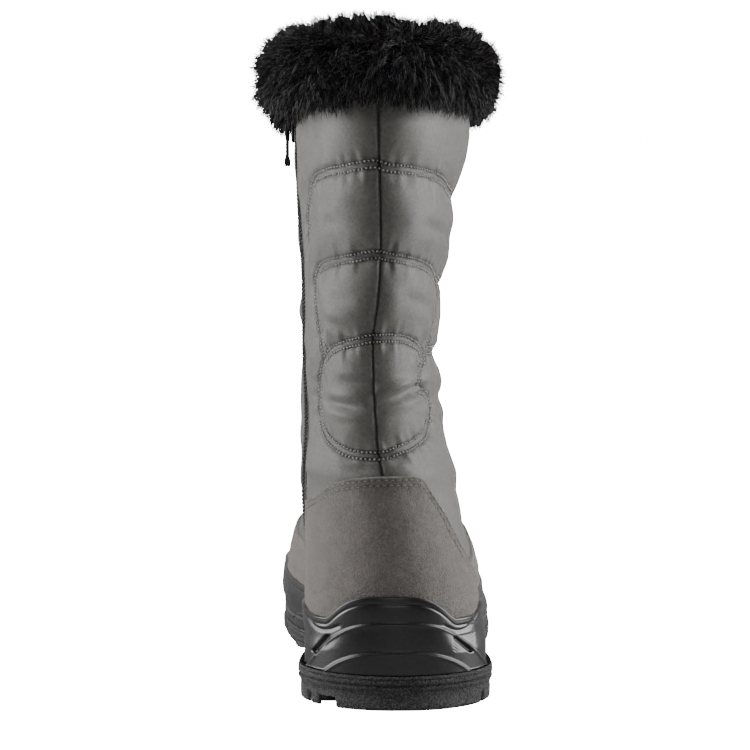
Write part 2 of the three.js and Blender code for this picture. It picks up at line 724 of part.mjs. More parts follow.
function makeFurCuff() {
  const zip = zipAngle(COLLAR);
  const slit = FUR_SLIT / SHAFT_DEPTH;
  const inside = angles.map((angle) => (angle < zip ? angle + 2 * Math.PI : angle)).sort((a, b) => a - b);
  const columns = [
    zip + slit,
    ...inside.filter((angle) => angle > zip + 3 * slit && angle < zip + 2 * Math.PI - 3 * slit),
    zip + 2 * Math.PI - slit,
  ];
  const clear = PUFF + GAP;
  const rings = columns.map((angle) => {
    const wall = cuffSection.map(({ out, up }) => cuffPoint(
      angle,
      clear + out * (FUR_DEPTH - clear),
      CUFF_BOTTOM + up * FUR_HEIGHT,
    ));
    const top = CUFF_BOTTOM + FUR_HEIGHT;
    return [
      cuffPoint(angle, clear, COLLAR_HEIGHT + GAP),
      ...wall,
      cuffPoint(angle, -0.6 * WALL, top - 1),
      cuffPoint(angle, -WALL, COLLAR_HEIGHT + GAP),
    ];
  });
  let solid = toSolid(skinStrip(rings, true));
  const LOCKS = 52;
  for (let i = 0; i < LOCKS; i += 1) {
    const turn = zip + 0.2 + (2 * Math.PI - 0.4) * ((i * 0.618034) % 1);
    const up = 0.2 + 0.75 * ((i * 0.7548777) % 1);
    const root = cuffPoint(turn, 0.66 * FUR_DEPTH, CUFF_BOTTOM + (0.2 + 0.6 * up) * FUR_HEIGHT);
    const out = lastNormal(turn, COLLAR - 0.2);
    const lean = new THREE.Vector3(out.x, out.y, 1.6 * (up - 0.45)).normalize();
    const lock = new THREE.ConeGeometry(0.4 * FUR_DEPTH, 0.62 * FUR_DEPTH, 5);
    lock.translate(0, 0.22 * FUR_DEPTH, 0);
    lock.applyQuaternion(new THREE.Quaternion().setFromUnitVectors(new THREE.Vector3(0, 1, 0), lean));
    lock.translate(root.x, root.y, root.z);
    solid = solid.add(toSolid(lock));
  }
  return toGeometry(solid);
}

place('outsole', makeOutsole(), tread);
place('sole_shell', makeSoleShell(), rubber);
place('insole', makeInsole(), felt);
place('upper', makeUpper(), nylon);
place('heel_counter', makeCounter(), suede);
place('mudguard', makeMudguard(), suede);
place('zip_chain', makeZipChain(), coil);
place('fur_cuff', makeFurCuff(), fur);

const coilSurface = zipPoint(SLIDER_HEIGHT, COIL_HEIGHT + 2.6 * GAP).point;
slider.position.copy(coilSurface);
slider.rotation.z = Math.PI;
boot.add(slider);
place('zip_slider', makeSlider(), metal, slider);
const pull = place('zip_pull', makePull(), metal, slider);
pull.position.set(PIN_OUT, 0, 0.2 * SLIDER_LENGTH);

export default boot;
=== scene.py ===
import math

import bpy
import numpy as np
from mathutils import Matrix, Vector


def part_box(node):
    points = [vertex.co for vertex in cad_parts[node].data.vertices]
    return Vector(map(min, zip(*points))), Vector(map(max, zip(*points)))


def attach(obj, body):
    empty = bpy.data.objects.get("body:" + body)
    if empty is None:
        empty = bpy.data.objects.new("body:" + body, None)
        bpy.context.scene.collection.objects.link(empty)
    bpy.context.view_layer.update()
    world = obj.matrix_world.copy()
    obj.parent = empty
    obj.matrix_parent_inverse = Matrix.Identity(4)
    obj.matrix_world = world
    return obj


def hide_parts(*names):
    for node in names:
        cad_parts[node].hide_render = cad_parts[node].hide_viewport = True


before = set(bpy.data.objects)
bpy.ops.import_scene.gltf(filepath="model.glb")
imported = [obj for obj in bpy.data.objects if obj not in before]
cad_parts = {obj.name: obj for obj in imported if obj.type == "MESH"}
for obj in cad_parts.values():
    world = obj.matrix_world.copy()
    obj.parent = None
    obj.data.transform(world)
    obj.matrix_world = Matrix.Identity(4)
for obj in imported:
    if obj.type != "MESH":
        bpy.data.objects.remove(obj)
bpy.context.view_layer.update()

# Camera and studio
# The boot stands on a pale floor between two tall soft lights, and the camera looks at its heel
# from a little above the ankle, as the photograph does.
CAMERA_BEHIND = 834
CAMERA_ASIDE = -9.5
CAMERA_UP = 172
CAMERA_PITCH = math.radians(2.1)
LENS = 91.5

camera_data = bpy.data.cameras.new("camera")
camera_data.lens = LENS
camera_data.sensor_width = 36
camera = bpy.data.objects.new("camera", camera_data)
camera.location = (CAMERA_ASIDE / 1000, -CAMERA_BEHIND / 1000, CAMERA_UP / 1000)
camera.rotation_euler = (math.pi / 2 - CAMERA_PITCH, 0, 0)
bpy.context.scene.collection.objects.link(camera)
bpy.context.scene.camera = camera


def paint(code):
    """A linear colour from the six letters that a paint card gives."""
    parts = [int(code[i:i + 2], 16) / 255 for i in (0, 2, 4)]
    return tuple(p / 12.92 if p <= 0.04045 else ((p + 0.055) / 1.055) ** 2.4 for p in parts) + (1,)


for name, place, tilt, width, height, watts in (
    ("soft light left", (-0.85, 0.06, 0.32), (90, 0, -90), 0.55, 1.2, 15),
    ("soft light right", (0.85, 0.06, 0.32), (90, 0, 90), 0.55, 1.2, 17),
    ("soft light above", (0, 0.1, 1.4), (0, 0, 0), 1.4, 1.0, 1.5),
    ("soft light behind", (0, -1.9, 0.7), (80, 0, 0), 1.2, 0.9, 3.6),
):
    light_data = bpy.data.lights.new(name, "AREA")
    light_data.shape = "RECTANGLE"
    light_data.size = width
    light_data.size_y = height
    light_data.energy = watts
    light = bpy.data.objects.new(name, light_data)
    light.location = place
    light.rotation_euler = [math.radians(t) for t in tilt]
    bpy.context.scene.collection.objects.link(light)

# The camera sees white paper; the boot sees a dim room, darker on the camera's side
world = bpy.data.worlds.new("studio")
world.use_nodes = True
bpy.context.scene.world = world
sky = world.node_tree.nodes
join = world.node_tree.links.new
sky.clear()
seen = sky.new("ShaderNodeBackground")
seen.inputs["Strength"].default_value = 30.0
unseen = sky.new("ShaderNodeBackground")
for background in (seen, unseen):
    background.inputs["Color"].default_value = (1, 1, 1, 1)
sky_place = sky.new("ShaderNodeTexCoord")
sky_parts = sky.new("ShaderNodeSeparateXYZ")
sky_span = sky.new("ShaderNodeMapRange")
for label, value in (("From Min", -0.3), ("From Max", 0.8), ("To Min", 0.03), ("To Max", 0.5)):
    sky_span.inputs[label].default_value = value
light_path = sky.new("ShaderNodeLightPath")
choose = sky.new("ShaderNodeMixShader")
world_out = sky.new("ShaderNodeOutputWorld")
join(sky_place.outputs["Generated"], sky_parts.inputs[0])
join(sky_parts.outputs["Y"], sky_span.inputs["Value"])
join(sky_span.outputs["Result"], unseen.inputs["Strength"])
join(light_path.outputs["Is Camera Ray"], choose.inputs[0])
join(unseen.outputs[0], choose.inputs[1])
join(seen.outputs[0], choose.inputs[2])
join(choose.outputs[0], world_out.inputs[0])


class Finish:
    """A material under way: its Principled shader, and short ways to add and join nodes."""

    def __init__(self, name, colour, roughness):
        self.material = bpy.data.materials.new(name)
        self.material.use_nodes = True
        self.nodes = self.material.node_tree.nodes
        self.links = self.material.node_tree.links
        self.shader = self.nodes["Principled BSDF"]
        self.shader.inputs["Base Color"].default_value = paint(colour)
        self.shader.inputs["Roughness"].default_value = roughness

    def set(self, **values):
        for name, value in values.items():
            self.shader.inputs[name.replace("_", " ")].default_value = value

    def group(self, tree, **values):
        node = self.nodes.new("ShaderNodeGroup")
        node.node_tree = tree
        for name, value in values.items():
            node.inputs[name.replace("_", " ")].default_value = value
        return node

    def blend(self, mask, dark, light):
        """Base Color between two paints by a mask. The first may be an earlier blend."""
        mix = self.nodes.new("ShaderNodeMix")
        mix.data_type = "RGBA"
        mix.inputs[7].default_value = paint(light)
        if isinstance(dark, str):
            mix.inputs[6].default_value = paint(dark)
        else:
            self.links.new(dark.outputs[2], mix.inputs[6])
        self.links.new(mask, mix.inputs[0])
        self.links.new(mix.outputs[2], self.shader.inputs["Base Color"])
        return mix

    def bump(self, height, depth, strength=1.0):
        bump = self.nodes.new("ShaderNodeBump")
        bump.inputs["Distance"].default_value = depth / 1000
        bump.inputs["Strength"].default_value = strength
        self.links.new(height, bump.inputs["Height"])
        self.links.new(bump.outputs["Normal"], self.shader.inputs["Normal"])

    def vary(self, mask, low, high):
        """Roughness that follows a mask."""
        span = self.nodes.new("ShaderNodeMapRange")
        span.inputs["To Min"].default_value = low
        span.inputs["To Max"].default_value = high
        self.links.new(mask, span.inputs["Value"])
        self.links.new(span.outputs["Result"], self.shader.inputs["Roughness"])

    def painted(self, name):
        """A mask painted on the mesh."""
        node = self.nodes.new("ShaderNodeAttribute")
        node.attribute_name = name
        return node.outputs["Fac"]


def effect(name, inputs, outputs):
    """An empty shader node group with named float sockets."""
    tree = bpy.data.node_groups.new(name, "ShaderNodeTree")
    for label, value in inputs.items():
        socket = tree.interface.new_socket(label, in_out="INPUT", socket_type="NodeSocketFloat")
        socket.default_value = value
    for label in outputs:
        tree.interface.new_socket(label, in_out="OUTPUT", socket_type="NodeSocketFloat")
    return tree, tree.nodes.new("NodeGroupInput"), tree.nodes.new("NodeGroupOutput")


# Grain: two sizes of speckle, for suede, rubber, felt and paint
grain, grain_in, grain_out = effect("grain", {"Scale": 400, "Patches": 25}, ["Speckle", "Patch"])
grain_place = grain.nodes.new("ShaderNodeTexCoord")
for socket, label, detail in (("Scale", "Speckle", 4), ("Patches", "Patch", 3)):
    noise = grain.nodes.new("ShaderNodeTexNoise")
    noise.inputs["Detail"].default_value = detail
    sharpen = grain.nodes.new("ShaderNodeMapRange")
    sharpen.inputs["From Min"].default_value = 0.32
    sharpen.inputs["From Max"].default_value = 0.68
    grain.links.new(grain_place.outputs["Object"], noise.inputs["Vector"])
    grain.links.new(grain_in.outputs[socket], noise.inputs["Scale"])
    grain.links.new(noise.outputs["Fac"], sharpen.inputs["Value"])
    grain.links.new(sharpen.outputs["Result"], grain_out.inputs[label])


def grained(name, roughness, dark, light, relief, scale, patches=60, mottle="Speckle"):
    """A finish mottled between two paints by the grain, whose speckle is also its relief."""
    finish = Finish(name, dark, roughness)
    finish.marks = finish.group(grain, Scale=scale, Patches=patches).outputs
    finish.mix = finish.blend(finish.marks[mottle], dark, light)
    finish.bump(finish.marks["Speckle"], relief)
    return finish


floor_finish = grained("studio floor", 0.7, "8e8e8e", "969695", 0.05, 300, 4, "Patch")
floor_glow = floor_finish.nodes.new("ShaderNodeLightPath")
floor_finish.links.new(floor_glow.outputs["Is Camera Ray"], floor_finish.shader.inputs["Emission Strength"])
floor_finish.shader.inputs["Emission Color"].default_value = (25, 25, 25, 1)
FLOOR_HALF = 4.0
floor_corners = [(x * FLOOR_HALF, y * FLOOR_HALF, 0) for x, y in ((-1, -1), (1, -1), (1, 1), (-1, 1))]
floor_mesh = bpy.data.meshes.new("floor")
floor_mesh.from_pydata(floor_corners, [], [(0, 1, 2, 3)])
floor = bpy.data.objects.new("floor", floor_mesh)
floor_mesh.materials.append(floor_finish.material)
bpy.context.scene.collection.objects.link(floor)

# Upper
# Padded nylon drawn over a last and quilted by double rows of stitching: seams round the shaft
# and over the instep, an oval over the heel tendon, and one closed seam up the back.
# All sizes are in millimetres, in the part's own frame.
SOLE_LENGTH = 290
HEEL_WIDTH = 84
WAIST_WIDTH = 80
BALL_WIDTH = 107
HEEL_CENTRE = 34
ANKLE_HEIGHT = 134
SHAFT_HEIGHT = 150
SHAFT_WIDTH = 73
SHAFT_DEPTH = 143
COLLAR_HEIGHT = ANKLE_HEIGHT + SHAFT_HEIGHT
WALL = 3
GAP = 0.3


def lerp(a, b, t):
    return a + (b - a) * t


def smoothstep(value, low, high):
    t = np.clip((value - low) / (high - low), 0, 1)
    return t * t * (3 - 2 * t)


def within(value, low, high, edge=1):
    """1 inside a span and 0 outside it, with soft edges."""
    return smoothstep(value, low, low + edge) * (1 - smoothstep(value, high - edge, high))


def columns_of(names, rows):
    """A table written row by row, as a dict of columns."""
    return {name: np.array([row[i] for row in rows], float) for i, name in enumerate(names.split())}


def along_table(column, at):
    """The smooth curve through a column's rows, read at a row number."""
    i = np.clip(np.floor(at).astype(int), 0, len(column) - 2)
    f = at - i
    first = 2 * column[0] - column[1]
    final = 2 * column[-1] - column[-2]
    longer = np.concatenate([[first], column, [final]])
    before, here, next_, after = longer[i], longer[i + 1], longer[i + 2], longer[i + 3]
    bend = 2 * before - 5 * here + 4 * next_ - after + f * (3 * here - before - 3 * next_ + after)
    return here + 0.5 * f * (next_ - before + f * bend)


def at_share(along, column, share):
    """The smooth curve through a column, read at a share of the length."""
    i = np.searchsorted(along[1:-1], share, side="left")
    last = len(along) - 1
    width = along[i + 1] - along[i]
    f = (share - along[i]) / width
    a, b = np.maximum(i - 1, 0), np.minimum(i + 2, last)
    enter = width * (column[i + 1] - column[a]) / (along[i + 1] - along[a])
    leave = width * (column[b] - column[i]) / (along[b] - along[i])
    rise = column[i + 1] - column[i]
    return column[i] + f * (enter + f * (3 * rise - 2 * enter - leave + f * (enter + leave - 2 * rise)))


def of_side(table, angle, share):
    """The medial or the lateral column of a table, by the side that the angle is on."""
    medial = at_share(table["along"], table["medial"], share)
    lateral = at_share(table["along"], table["lateral"], share)
    return np.where(np.sin(angle) >= 0, lateral, medial)


def round_end(share):
    return np.sqrt(np.clip(1 - (1 - np.minimum(share, 1)) ** 2, 0, 1))


def bell(far, width):
    return np.exp(-(far / width) ** 2)


def share_of(angle):
    """The share of the length at an angle round the last: 1 at the toe, 0 at the heel."""
    return 0.5 + 0.5 * np.cos(angle)


def angle_at(share, side=1):
    """The angle at a share of the length, on the outer side (1) or the inner one (-1)."""
    angle = np.arccos(np.clip(2 * share - 1, -1, 1))
    return angle if side > 0 else 2 * math.pi - angle


def full_turn(count):
    return np.linspace(0, 2 * math.pi, count, endpoint=False)


def turn_of(angle):
    """Angle round the last as a turn from the middle of the back, outer side positive."""
    return (math.pi - angle + math.pi) % (2 * math.pi) - math.pi


FOOT = columns_of(
    "back_up front_up back length heel_in heel_out ball_in ball_out"
    " back_sway front_sway heel_round toe_round sag waist",
    [
        (0.166, 0.190, 0.031, 0.931, 0.417, 0.390, 0.440, 0.408, 0.000, -0.065, 0.14, 0.25, 0.052, 0.092),
        (0.224, 0.254, 0.022, 0.950, 0.446, 0.415, 0.461, 0.443, 0.000, -0.065, 0.14, 0.25, 0.045, 0.098),
        (0.299, 0.328, 0.019, 0.946, 0.455, 0.425, 0.450, 0.440, -0.003, -0.065, 0.145, 0.255, 0.037, 0.088),
        (0.373, 0.405, 0.021, 0.930, 0.452, 0.420, 0.424, 0.412, -0.007, -0.065, 0.155, 0.27, 0.022, 0.062),
        (0.448, 0.468, 0.024, 0.889, 0.446, 0.409, 0.395, 0.374, -0.014, -0.065, 0.18, 0.31, 0.007, 0.036),
        (0.530, 0.520, 0.029, 0.815, 0.440, 0.396, 0.368, 0.334, -0.023, -0.065, 0.20, 0.36, 0.0, 0.014),
        (0.619, 0.575, 0.034, 0.725, 0.432, 0.395, 0.350, 0.304, -0.036, -0.065, 0.24, 0.43, 0.0, 0.0),
        (0.709, 0.645, 0.039, 0.634, 0.417, 0.382, 0.335, 0.289, -0.051, -0.070, 0.29, 0.49, 0.0, 0.0),
        (0.799, 0.744, 0.042, 0.552, 0.396, 0.352, 0.314, 0.273, -0.068, -0.075, 0.36, 0.51, 0.0, 0.0),
        (0.896, 0.862, 0.043, 0.491, 0.376, 0.337, 0.295, 0.264, -0.084, -0.084, 0.45, 0.50, 0.0, 0.0),
    ],
)
SHAFT = columns_of(
    "up back depth medial lateral sway",
    [
        (0.000, 0.088, 0.924, 0.425, 0.390, -0.137),
        (0.110, 0.081, 0.902, 0.427, 0.384, -0.141),
        (0.230, 0.070, 0.895, 0.438, 0.381, -0.129),
        (0.350, 0.053, 0.916, 0.459, 0.384, -0.110),
        (0.475, 0.035, 0.944, 0.480, 0.418, -0.104),
        (0.610, 0.018, 0.972, 0.490, 0.466, -0.108),
        (0.740, 0.007, 0.993, 0.490, 0.525, -0.111),
        (0.870, 0.003, 1.000, 0.495, 0.535, -0.112),
        (1.000, 0.003, 1.000, 0.495, 0.520, -0.112),
    ],
)
shaft_up = ANKLE_HEIGHT + SHAFT["up"] * SHAFT_HEIGHT
level_shaft = np.full(len(shaft_up), 0.5)
none = np.zeros(len(shaft_up))
LAST = {
    "back_up": np.concatenate([FOOT["back_up"] * ANKLE_HEIGHT, shaft_up]),
    "front_up": np.concatenate([FOOT["front_up"] * ANKLE_HEIGHT, shaft_up]),
    "heel_round": np.concatenate([FOOT["heel_round"], level_shaft]),
    "toe_round": np.concatenate([FOOT["toe_round"], level_shaft]),
    "sag": np.concatenate([FOOT["sag"] * ANKLE_HEIGHT, none]),
    "waist": np.concatenate([FOOT["waist"] * HEEL_WIDTH, none]),
}
for names, foot_size, shaft_columns, shaft_size in (
    (("back", "length"), SOLE_LENGTH, ("back", "depth"), SHAFT_DEPTH),
    (("heel_in", "heel_out"), HEEL_WIDTH, ("medial", "lateral"), SHAFT_WIDTH),
    (("ball_in", "ball_out"), BALL_WIDTH, ("medial", "lateral"), SHAFT_WIDTH),
    (("back_sway", "front_sway"), BALL_WIDTH, ("sway", "sway"), SHAFT_WIDTH),
):
    for name, column in zip(names, shaft_columns):
        LAST[name] = np.concatenate([FOOT[name] * foot_size, SHAFT[column] * shaft_size])
COLLAR = len(LAST["back"]) - 1


def last_up(angle, level):
    share = share_of(angle)
    dip = along_table(LAST["sag"], level) * np.sin(np.pi * share ** 1.35)
    return lerp(along_table(LAST["back_up"], level), along_table(LAST["front_up"], level), share) - dip


def last_point(angle, level):
    """A point of the last: angle 0 is the toe and pi the heel, and level counts sections upward."""
    angle, level = np.broadcast_arrays(np.asarray(angle, float), np.asarray(level, float))
    share = share_of(angle)
    outer = np.sin(angle) >= 0
    side = np.where(outer, 1.0, -1.0)
    read = {name: along_table(column, level) for name, column in LAST.items()}
    heel = np.where(outer, read["heel_out"], read["heel_in"])
    ball = np.where(outer, read["ball_out"], read["ball_in"])
    ends = round_end(share / read["heel_round"]) * round_end((1 - share) / read["toe_round"])
    sway = lerp(read["back_sway"], read["front_sway"], smoothstep(share, 0, 1))
    waist = within(share, 0.15, 0.65, 0.25) * read["waist"] * np.where(outer, 0.25, 1)
    x = sway + side * ends * (lerp(heel, ball, smoothstep(share, 0.22, 0.66)) - waist)
    y = read["back"] + share * read["length"] - HEEL_CENTRE
    dip = read["sag"] * np.sin(np.pi * share ** 1.35)
    return np.stack([x, y, lerp(read["back_up"], read["front_up"], share) - dip], axis=-1)


def unit(vectors):
    return vectors / np.maximum(np.linalg.norm(vectors, axis=-1, keepdims=True), 1e-9)


def last_normal(angle, level):
    step = 0.02
    angle, level = np.broadcast_arrays(np.asarray(angle, float), np.asarray(level, float))
    round_ = last_point(angle + step, level) - last_point(angle - step, level)
    above = last_point(angle, np.minimum(level + step, COLLAR))
    rise = above - last_point(angle, np.maximum(level - step, 0))
    return -unit(np.cross(round_, rise))


def off_last(angle, level, offset):
    return last_point(angle, level) + last_normal(angle, level) * np.asarray(offset)[..., None]


def halving(short_of, low, high, rounds):
    """The largest values that still fall short, found by halving the span between low and high."""
    for _ in range(rounds):
        middle = (low + high) / 2
        short = short_of(middle)
        low = np.where(short, middle, low)
        high = np.where(short, high, middle)
    return low


def level_at(angle, height):
    """The level at which each column of the last passes a height."""
    angle, height = np.broadcast_arrays(np.asarray(angle, float), np.asarray(height, float))
    low = np.zeros(angle.shape)
    return halving(lambda level: last_up(angle, level) < height, low, low + COLLAR, 22)


def bed_height(y):
    share = np.clip((y + HEEL_CENTRE - LAST["back"][0]) / LAST["length"][0], 0, 1)
    return last_up(angle_at(share), np.zeros_like(share))


# Way round a middling oval of the shaft in millimetres, from the middle of the back, outer side positive
OVAL_ASIDE = 34
OVAL_ALONG = 66
turns = np.linspace(-math.pi, math.pi, 721)
reach = np.hypot(OVAL_ASIDE * np.cos(turns), OVAL_ALONG * np.sin(turns)) * (turns[1] - turns[0])
way = np.cumsum(reach) - reach / 2
way -= np.interp(0, turns, way)


def way_round(turn):
    return np.interp(turn, turns, way)


def from_behind(x, up):
    """The turn from the middle of the back at which the last shows this x from behind."""
    x, up = np.asarray(x, float), np.asarray(up, float)

    def left_of(turn):
        angle = math.pi - turn
        return last_point(angle, level_at(angle, up))[..., 0] < x

    widest = np.full(x.shape, 1.45)
    return halving(left_of, -widest, widest, 18)


# Quilting seams: x and height seen from behind, and, past each side, degrees round and height
SEAMS = {
    "upper": (
        [],
        [(-38.4, 202), (-38.3, 212), (-37.4, 221), (-35, 226.5), (-30, 228.5), (-22, 229.5), (-12, 231),
         (-8, 231), (-4, 229.5), (4, 229), (15, 227.5), (21, 225), (23.5, 222)],
        [(110, 219), (140, 219), (180, 219)],
    ),
    "upper inner side": ([(-180, 219), (-130, 219), (-90, 220)], [], []),
    "middle": (
        [],
        [(-31.5, 152), (-33.6, 163), (-35, 173), (-35.3, 181), (-34.2, 186), (-32, 189), (-27.5, 190.4),
         (-20, 191.7), (-9, 193.3), (-4, 192.3), (4.3, 191), (11.5, 189), (15.6, 186), (17.2, 181),
         (17.3, 174),
         (16.2, 165), (14.2, 156), (12, 149)],
        [],
    ),
    "middle inner side": ([(-180, 184), (-130, 183), (-90, 184)], [], []),
    "middle outer side": ([], [], [(68, 183), (110, 181), (180, 184)]),
    "lower inner side": ([(-180, 150), (-130, 155), (-90, 156)], [], []),
    "lower outer side": ([], [], [(60, 152), (110, 151), (180, 150)]),
    "oval": (
        [],
        [(-31.5, 148), (-29, 151.8), (-23, 154.8), (-16, 156.5), (-11, 157.7), (0.6, 157.7), (6.4, 155.6),
         (10.2, 152), (11.1, 147), (9.6, 142), (9.2, 137.2), (11.3, 134), (13.4, 131.2), (14.4, 126.5),
         (13.2, 118), (7.3, 112.4), (0.6, 110), (-5.7, 107.8), (-17, 107.8), (-23.3, 109.5),
         (-28.8, 113), (-32.2, 118), (-33.8, 126.7), (-33.6, 135.5), (-32.6, 142), (-31.5, 148)],
        [],
    ),
    "ankle inner side": ([(-180, 112), (-130, 106), (-105, 97), (-90, 84)], [], []),
    "ankle outer side": ([], [], [(82, 86), (98, 97), (130, 106), (180, 112)]),
    "under the fur": ([(-180, 271), (-90, 270)], [(-20, 272), (5, 272)], [(90, 270), (180, 271)]),
}
BACK_SEAM = [(-8.2, 268), (-8.2, 256), (-7.6, 182.5), (-9.3, 166), (-10.2, 159), (-10.2, 144.3),
             (-9.9, 132.6), (-9, 120.8), (-8.2, 110), (-6.2, 99)]
ROWS_APART = 3.0
ROW_WIDTH = 0.7
ROW_DEPTH = 0.6
SHADOW_WIDTH = 0.95
CREASE_DEPTH = 1.1
PUFF = 2.7
PUFF_REACH = 8.5
PUCKER_REACH = 5.2
ZIP_FROM_BACK = 60
COIL_WIDTH = 5
ZIP_ROWS = (5.9, 7.7)
ZIP_ROW_DEPTH = 0.35


def smooth_line(points, step=1.2):
    """Points every step along the smooth curve through a few given ones."""
    points = np.array(points, float)
    gaps = np.hypot(*np.diff(points, axis=0).T)
    rows = np.concatenate([[0], np.cumsum(gaps)])
    count = max(3, int(rows[-1] / step))
    at = np.interp(np.linspace(0, rows[-1], count), rows, np.arange(len(points)))
    return np.stack([along_table(points[:, 0], at), along_table(points[:, 1], at)], axis=1)


def in_degrees(turn, up):
    return np.radians(turn)


def seam_line(before, back, after):
    """A seam as points of way round and height."""
    rows = []
    for points, to_turn in ((before, in_degrees), (back, from_behind), (after, in_degrees)):
        if points:
            aside, up = np.array(points, float).T
            rows += list(zip(way_round(to_turn(aside, up)), up))
    return smooth_line(rows)


seam_lines = {name: seam_line(*rows) for name, rows in SEAMS.items()}
back_line = seam_line([], BACK_SEAM, [])


def near_line(place, line):
    """Distance to a line, and the way along it to the nearest point."""
    best = np.full(len(place), 1e9)
    along = np.zeros(len(place))
    run = 0.0
    for a, b in zip(line[:-1], line[1:]):
        span = b - a
        length = math.hypot(*span)
        t = np.clip(((place - a) @ span) / max(length ** 2, 1e-9), 0, 1)
        far = np.hypot(*(place - a - t[:, None] * span).T)
        closer = far < best
        best = np.where(closer, far, best)
        along = np.where(closer, run + t * length, along)
        run += length
    return best, along


def ripple(at, cell, seed):
    """Smooth noise along a line, about one bump to a cell, from -1 to 1."""
    values = np.random.default_rng(seed).uniform(-1, 1, 4096)
    i = np.floor(at / cell).astype(int)
    f = at / cell - i
    f = f * f * (3 - 2 * f)
    return lerp(values[i % 4096], values[(i + 1) % 4096], f)


def ripples(u, v, cell, seed):
    """Smooth noise over a sheet, from -1 to 1."""
    values = np.random.default_rng(seed).uniform(-1, 1, (256, 256))
    i, j = np.floor(u / cell).astype(int), np.floor(v / cell).astype(int)
    f, g = u / cell - i, v / cell - j
    f, g = f * f * (3 - 2 * f), g * g * (3 - 2 * g)
    low = lerp(values[i % 256, j % 256], values[(i + 1) % 256, j % 256], f)
    high = lerp(values[i % 256, (j + 1) % 256], values[(i + 1) % 256, (j + 1) % 256], f)
    return lerp(low, high, g)


# Folds placed one by one: x and height of both ends seen from behind, depth and half width
BACK_FOLDS = [
    (-29, 130.5, -13, 127.5, 1.2, 2.1),
    (-10, 130.5, 11, 137, 1.0, 2.2),
    (-10, 135, 9, 141.5, -0.5, 2.0),
    (2, 134, 13, 136, 0.9, 1.6),
    (-24, 140, -10.5, 138, 0.8, 2.0),
    (-21, 102, -8, 101, 0.6, 1.6),
    (-4.5, 106.6, 3.5, 106.6, 0.5, 1.5),
    (-30, 209, -24, 206, 0.4, 2.6),
    (8, 207, 20, 203, 0.5, 2.8),
    (-28, 176, -16, 173, 0.5, 2.6),
    (2, 175, 13, 171, 0.5, 2.6),
    (-29, 166, -20, 160.5, 0.5, 1.8),
]
# Folds past the sides: degrees round and height of both ends, depth and half width
SIDE_FOLDS = [
    (58, 151, 120, 146, 0.7, 3.8),
    (66, 132, 115, 127, 0.9, 3.6),
    (-62, 150, -80, 148, 0.8, 3.2),
    (-100, 148, -150, 142, 1.4, 4.0),
    (135, 137, 180, 128, 2.0, 4.5),
    (-135, 137, -180, 128, 2.0, 4.5),
    (70, 205, 125, 201, 0.7, 4.5),
    (-95, 205, -140, 200, 0.7, 4.5),
]


folds = []
for rows, to_turn in ((BACK_FOLDS, from_behind), (SIDE_FOLDS, in_degrees)):
    for a, a_up, b, b_up, depth, half in rows:
        ends = way_round(to_turn([a, b], [a_up, b_up]))
        folds.append((np.column_stack([ends, [a_up, b_up]]), depth, half))


def zip_angle(level):
    back = along_table(LAST["back"], level)
    length = along_table(LAST["length"], level)
    return angle_at((ZIP_FROM_BACK - back) / length, -1)


zip_levels = np.linspace(0, COLLAR, 80)
zip_ups = last_up(zip_angle(zip_levels), zip_levels)
zip_ways = way_round(math.pi - zip_angle(zip_levels))


def quilt(turn, up):
    """How far the nylon stands off the last, and a mask of painted shade along the sunk seam rows, the back
    seam and the zip's stitch rows.
    """
    shape = turn.shape
    place = np.stack([way_round(turn).ravel(), up.ravel()], axis=1)
    near = np.full(len(place), 1e9)
    pucker = np.zeros(len(place))
    for number, line in enumerate(seam_lines.values()):
        far, along = near_line(place, line)
        near = np.minimum(near, far)
        drawn = 0.6 * ripple(along, 4.4, 10 + number) + 0.75 * ripple(along, 2.6, 30 + number)
        pucker += drawn * bell(far, PUCKER_REACH) * (1 - bell(far, 2.2))
    swell = 1 - np.exp(-(near / PUFF_REACH) ** 1.35)
    rows = bell(near - ROWS_APART / 2, ROW_WIDTH)
    back_far, back_along = near_line(place, back_line)
    back_rows = bell(back_far, 0.5)
    swell *= 1 - 0.45 * np.exp(-(back_far / 6) ** 1.2)
    pucker += 0.8 * ripple(back_along, 7, 60) * bell(back_far, 12)
    sink = np.zeros(len(place))
    for line, depth, half in folds:
        far, along = near_line(place, line)
        fade = np.sin(math.pi * (0.06 + 0.88 * along / math.hypot(*(line[1] - line[0]))))
        valley = bell(far, half) - 0.35 * bell(far - 2.1 * half, half)
        sink += 1.7 * depth * fade * valley
    loose = 0.75 * ripples(place[:, 0], place[:, 1], 19, 5) + 0.3 * ripples(place[:, 0], place[:, 1], 8, 6)
    loose *= 1 - bell(near, 6)
    aside = smoothstep(np.abs(turn).ravel(), 1.0, 1.6)
    foot = smoothstep(place[:, 1], lerp(90, 62, aside), lerp(101, 84, aside))
    sewn = smoothstep(place[:, 1], lerp(90, 50, aside), lerp(100, 60, aside))
    zip_far = np.abs(place[:, 0] - np.interp(place[:, 1], zip_ups, zip_ways))
    flat = smoothstep(zip_far, 4, 15)
    zip_rows = sum(bell(zip_far - row, 0.45) for row in ZIP_ROWS) * smoothstep(place[:, 1], 58, 60)
    soft = PUFF * swell + pucker + loose - sink
    pressed = ROW_DEPTH * rows * flat * sewn + ZIP_ROW_DEPTH * zip_rows
    relief = (soft * flat - CREASE_DEPTH * back_rows) * foot - pressed
    # Painted shade: dark bands along the sunk rows of the seams, down the back seam and along the zip's
    # stitch rows
    shadow = bell(near - ROWS_APART / 2, SHADOW_WIDTH)
    painted_shade = np.clip(0.95 * shadow * flat * sewn + back_rows * foot + 0.7 * zip_rows, 0, 1)
    return relief.reshape(shape), painted_shade.reshape(shape)


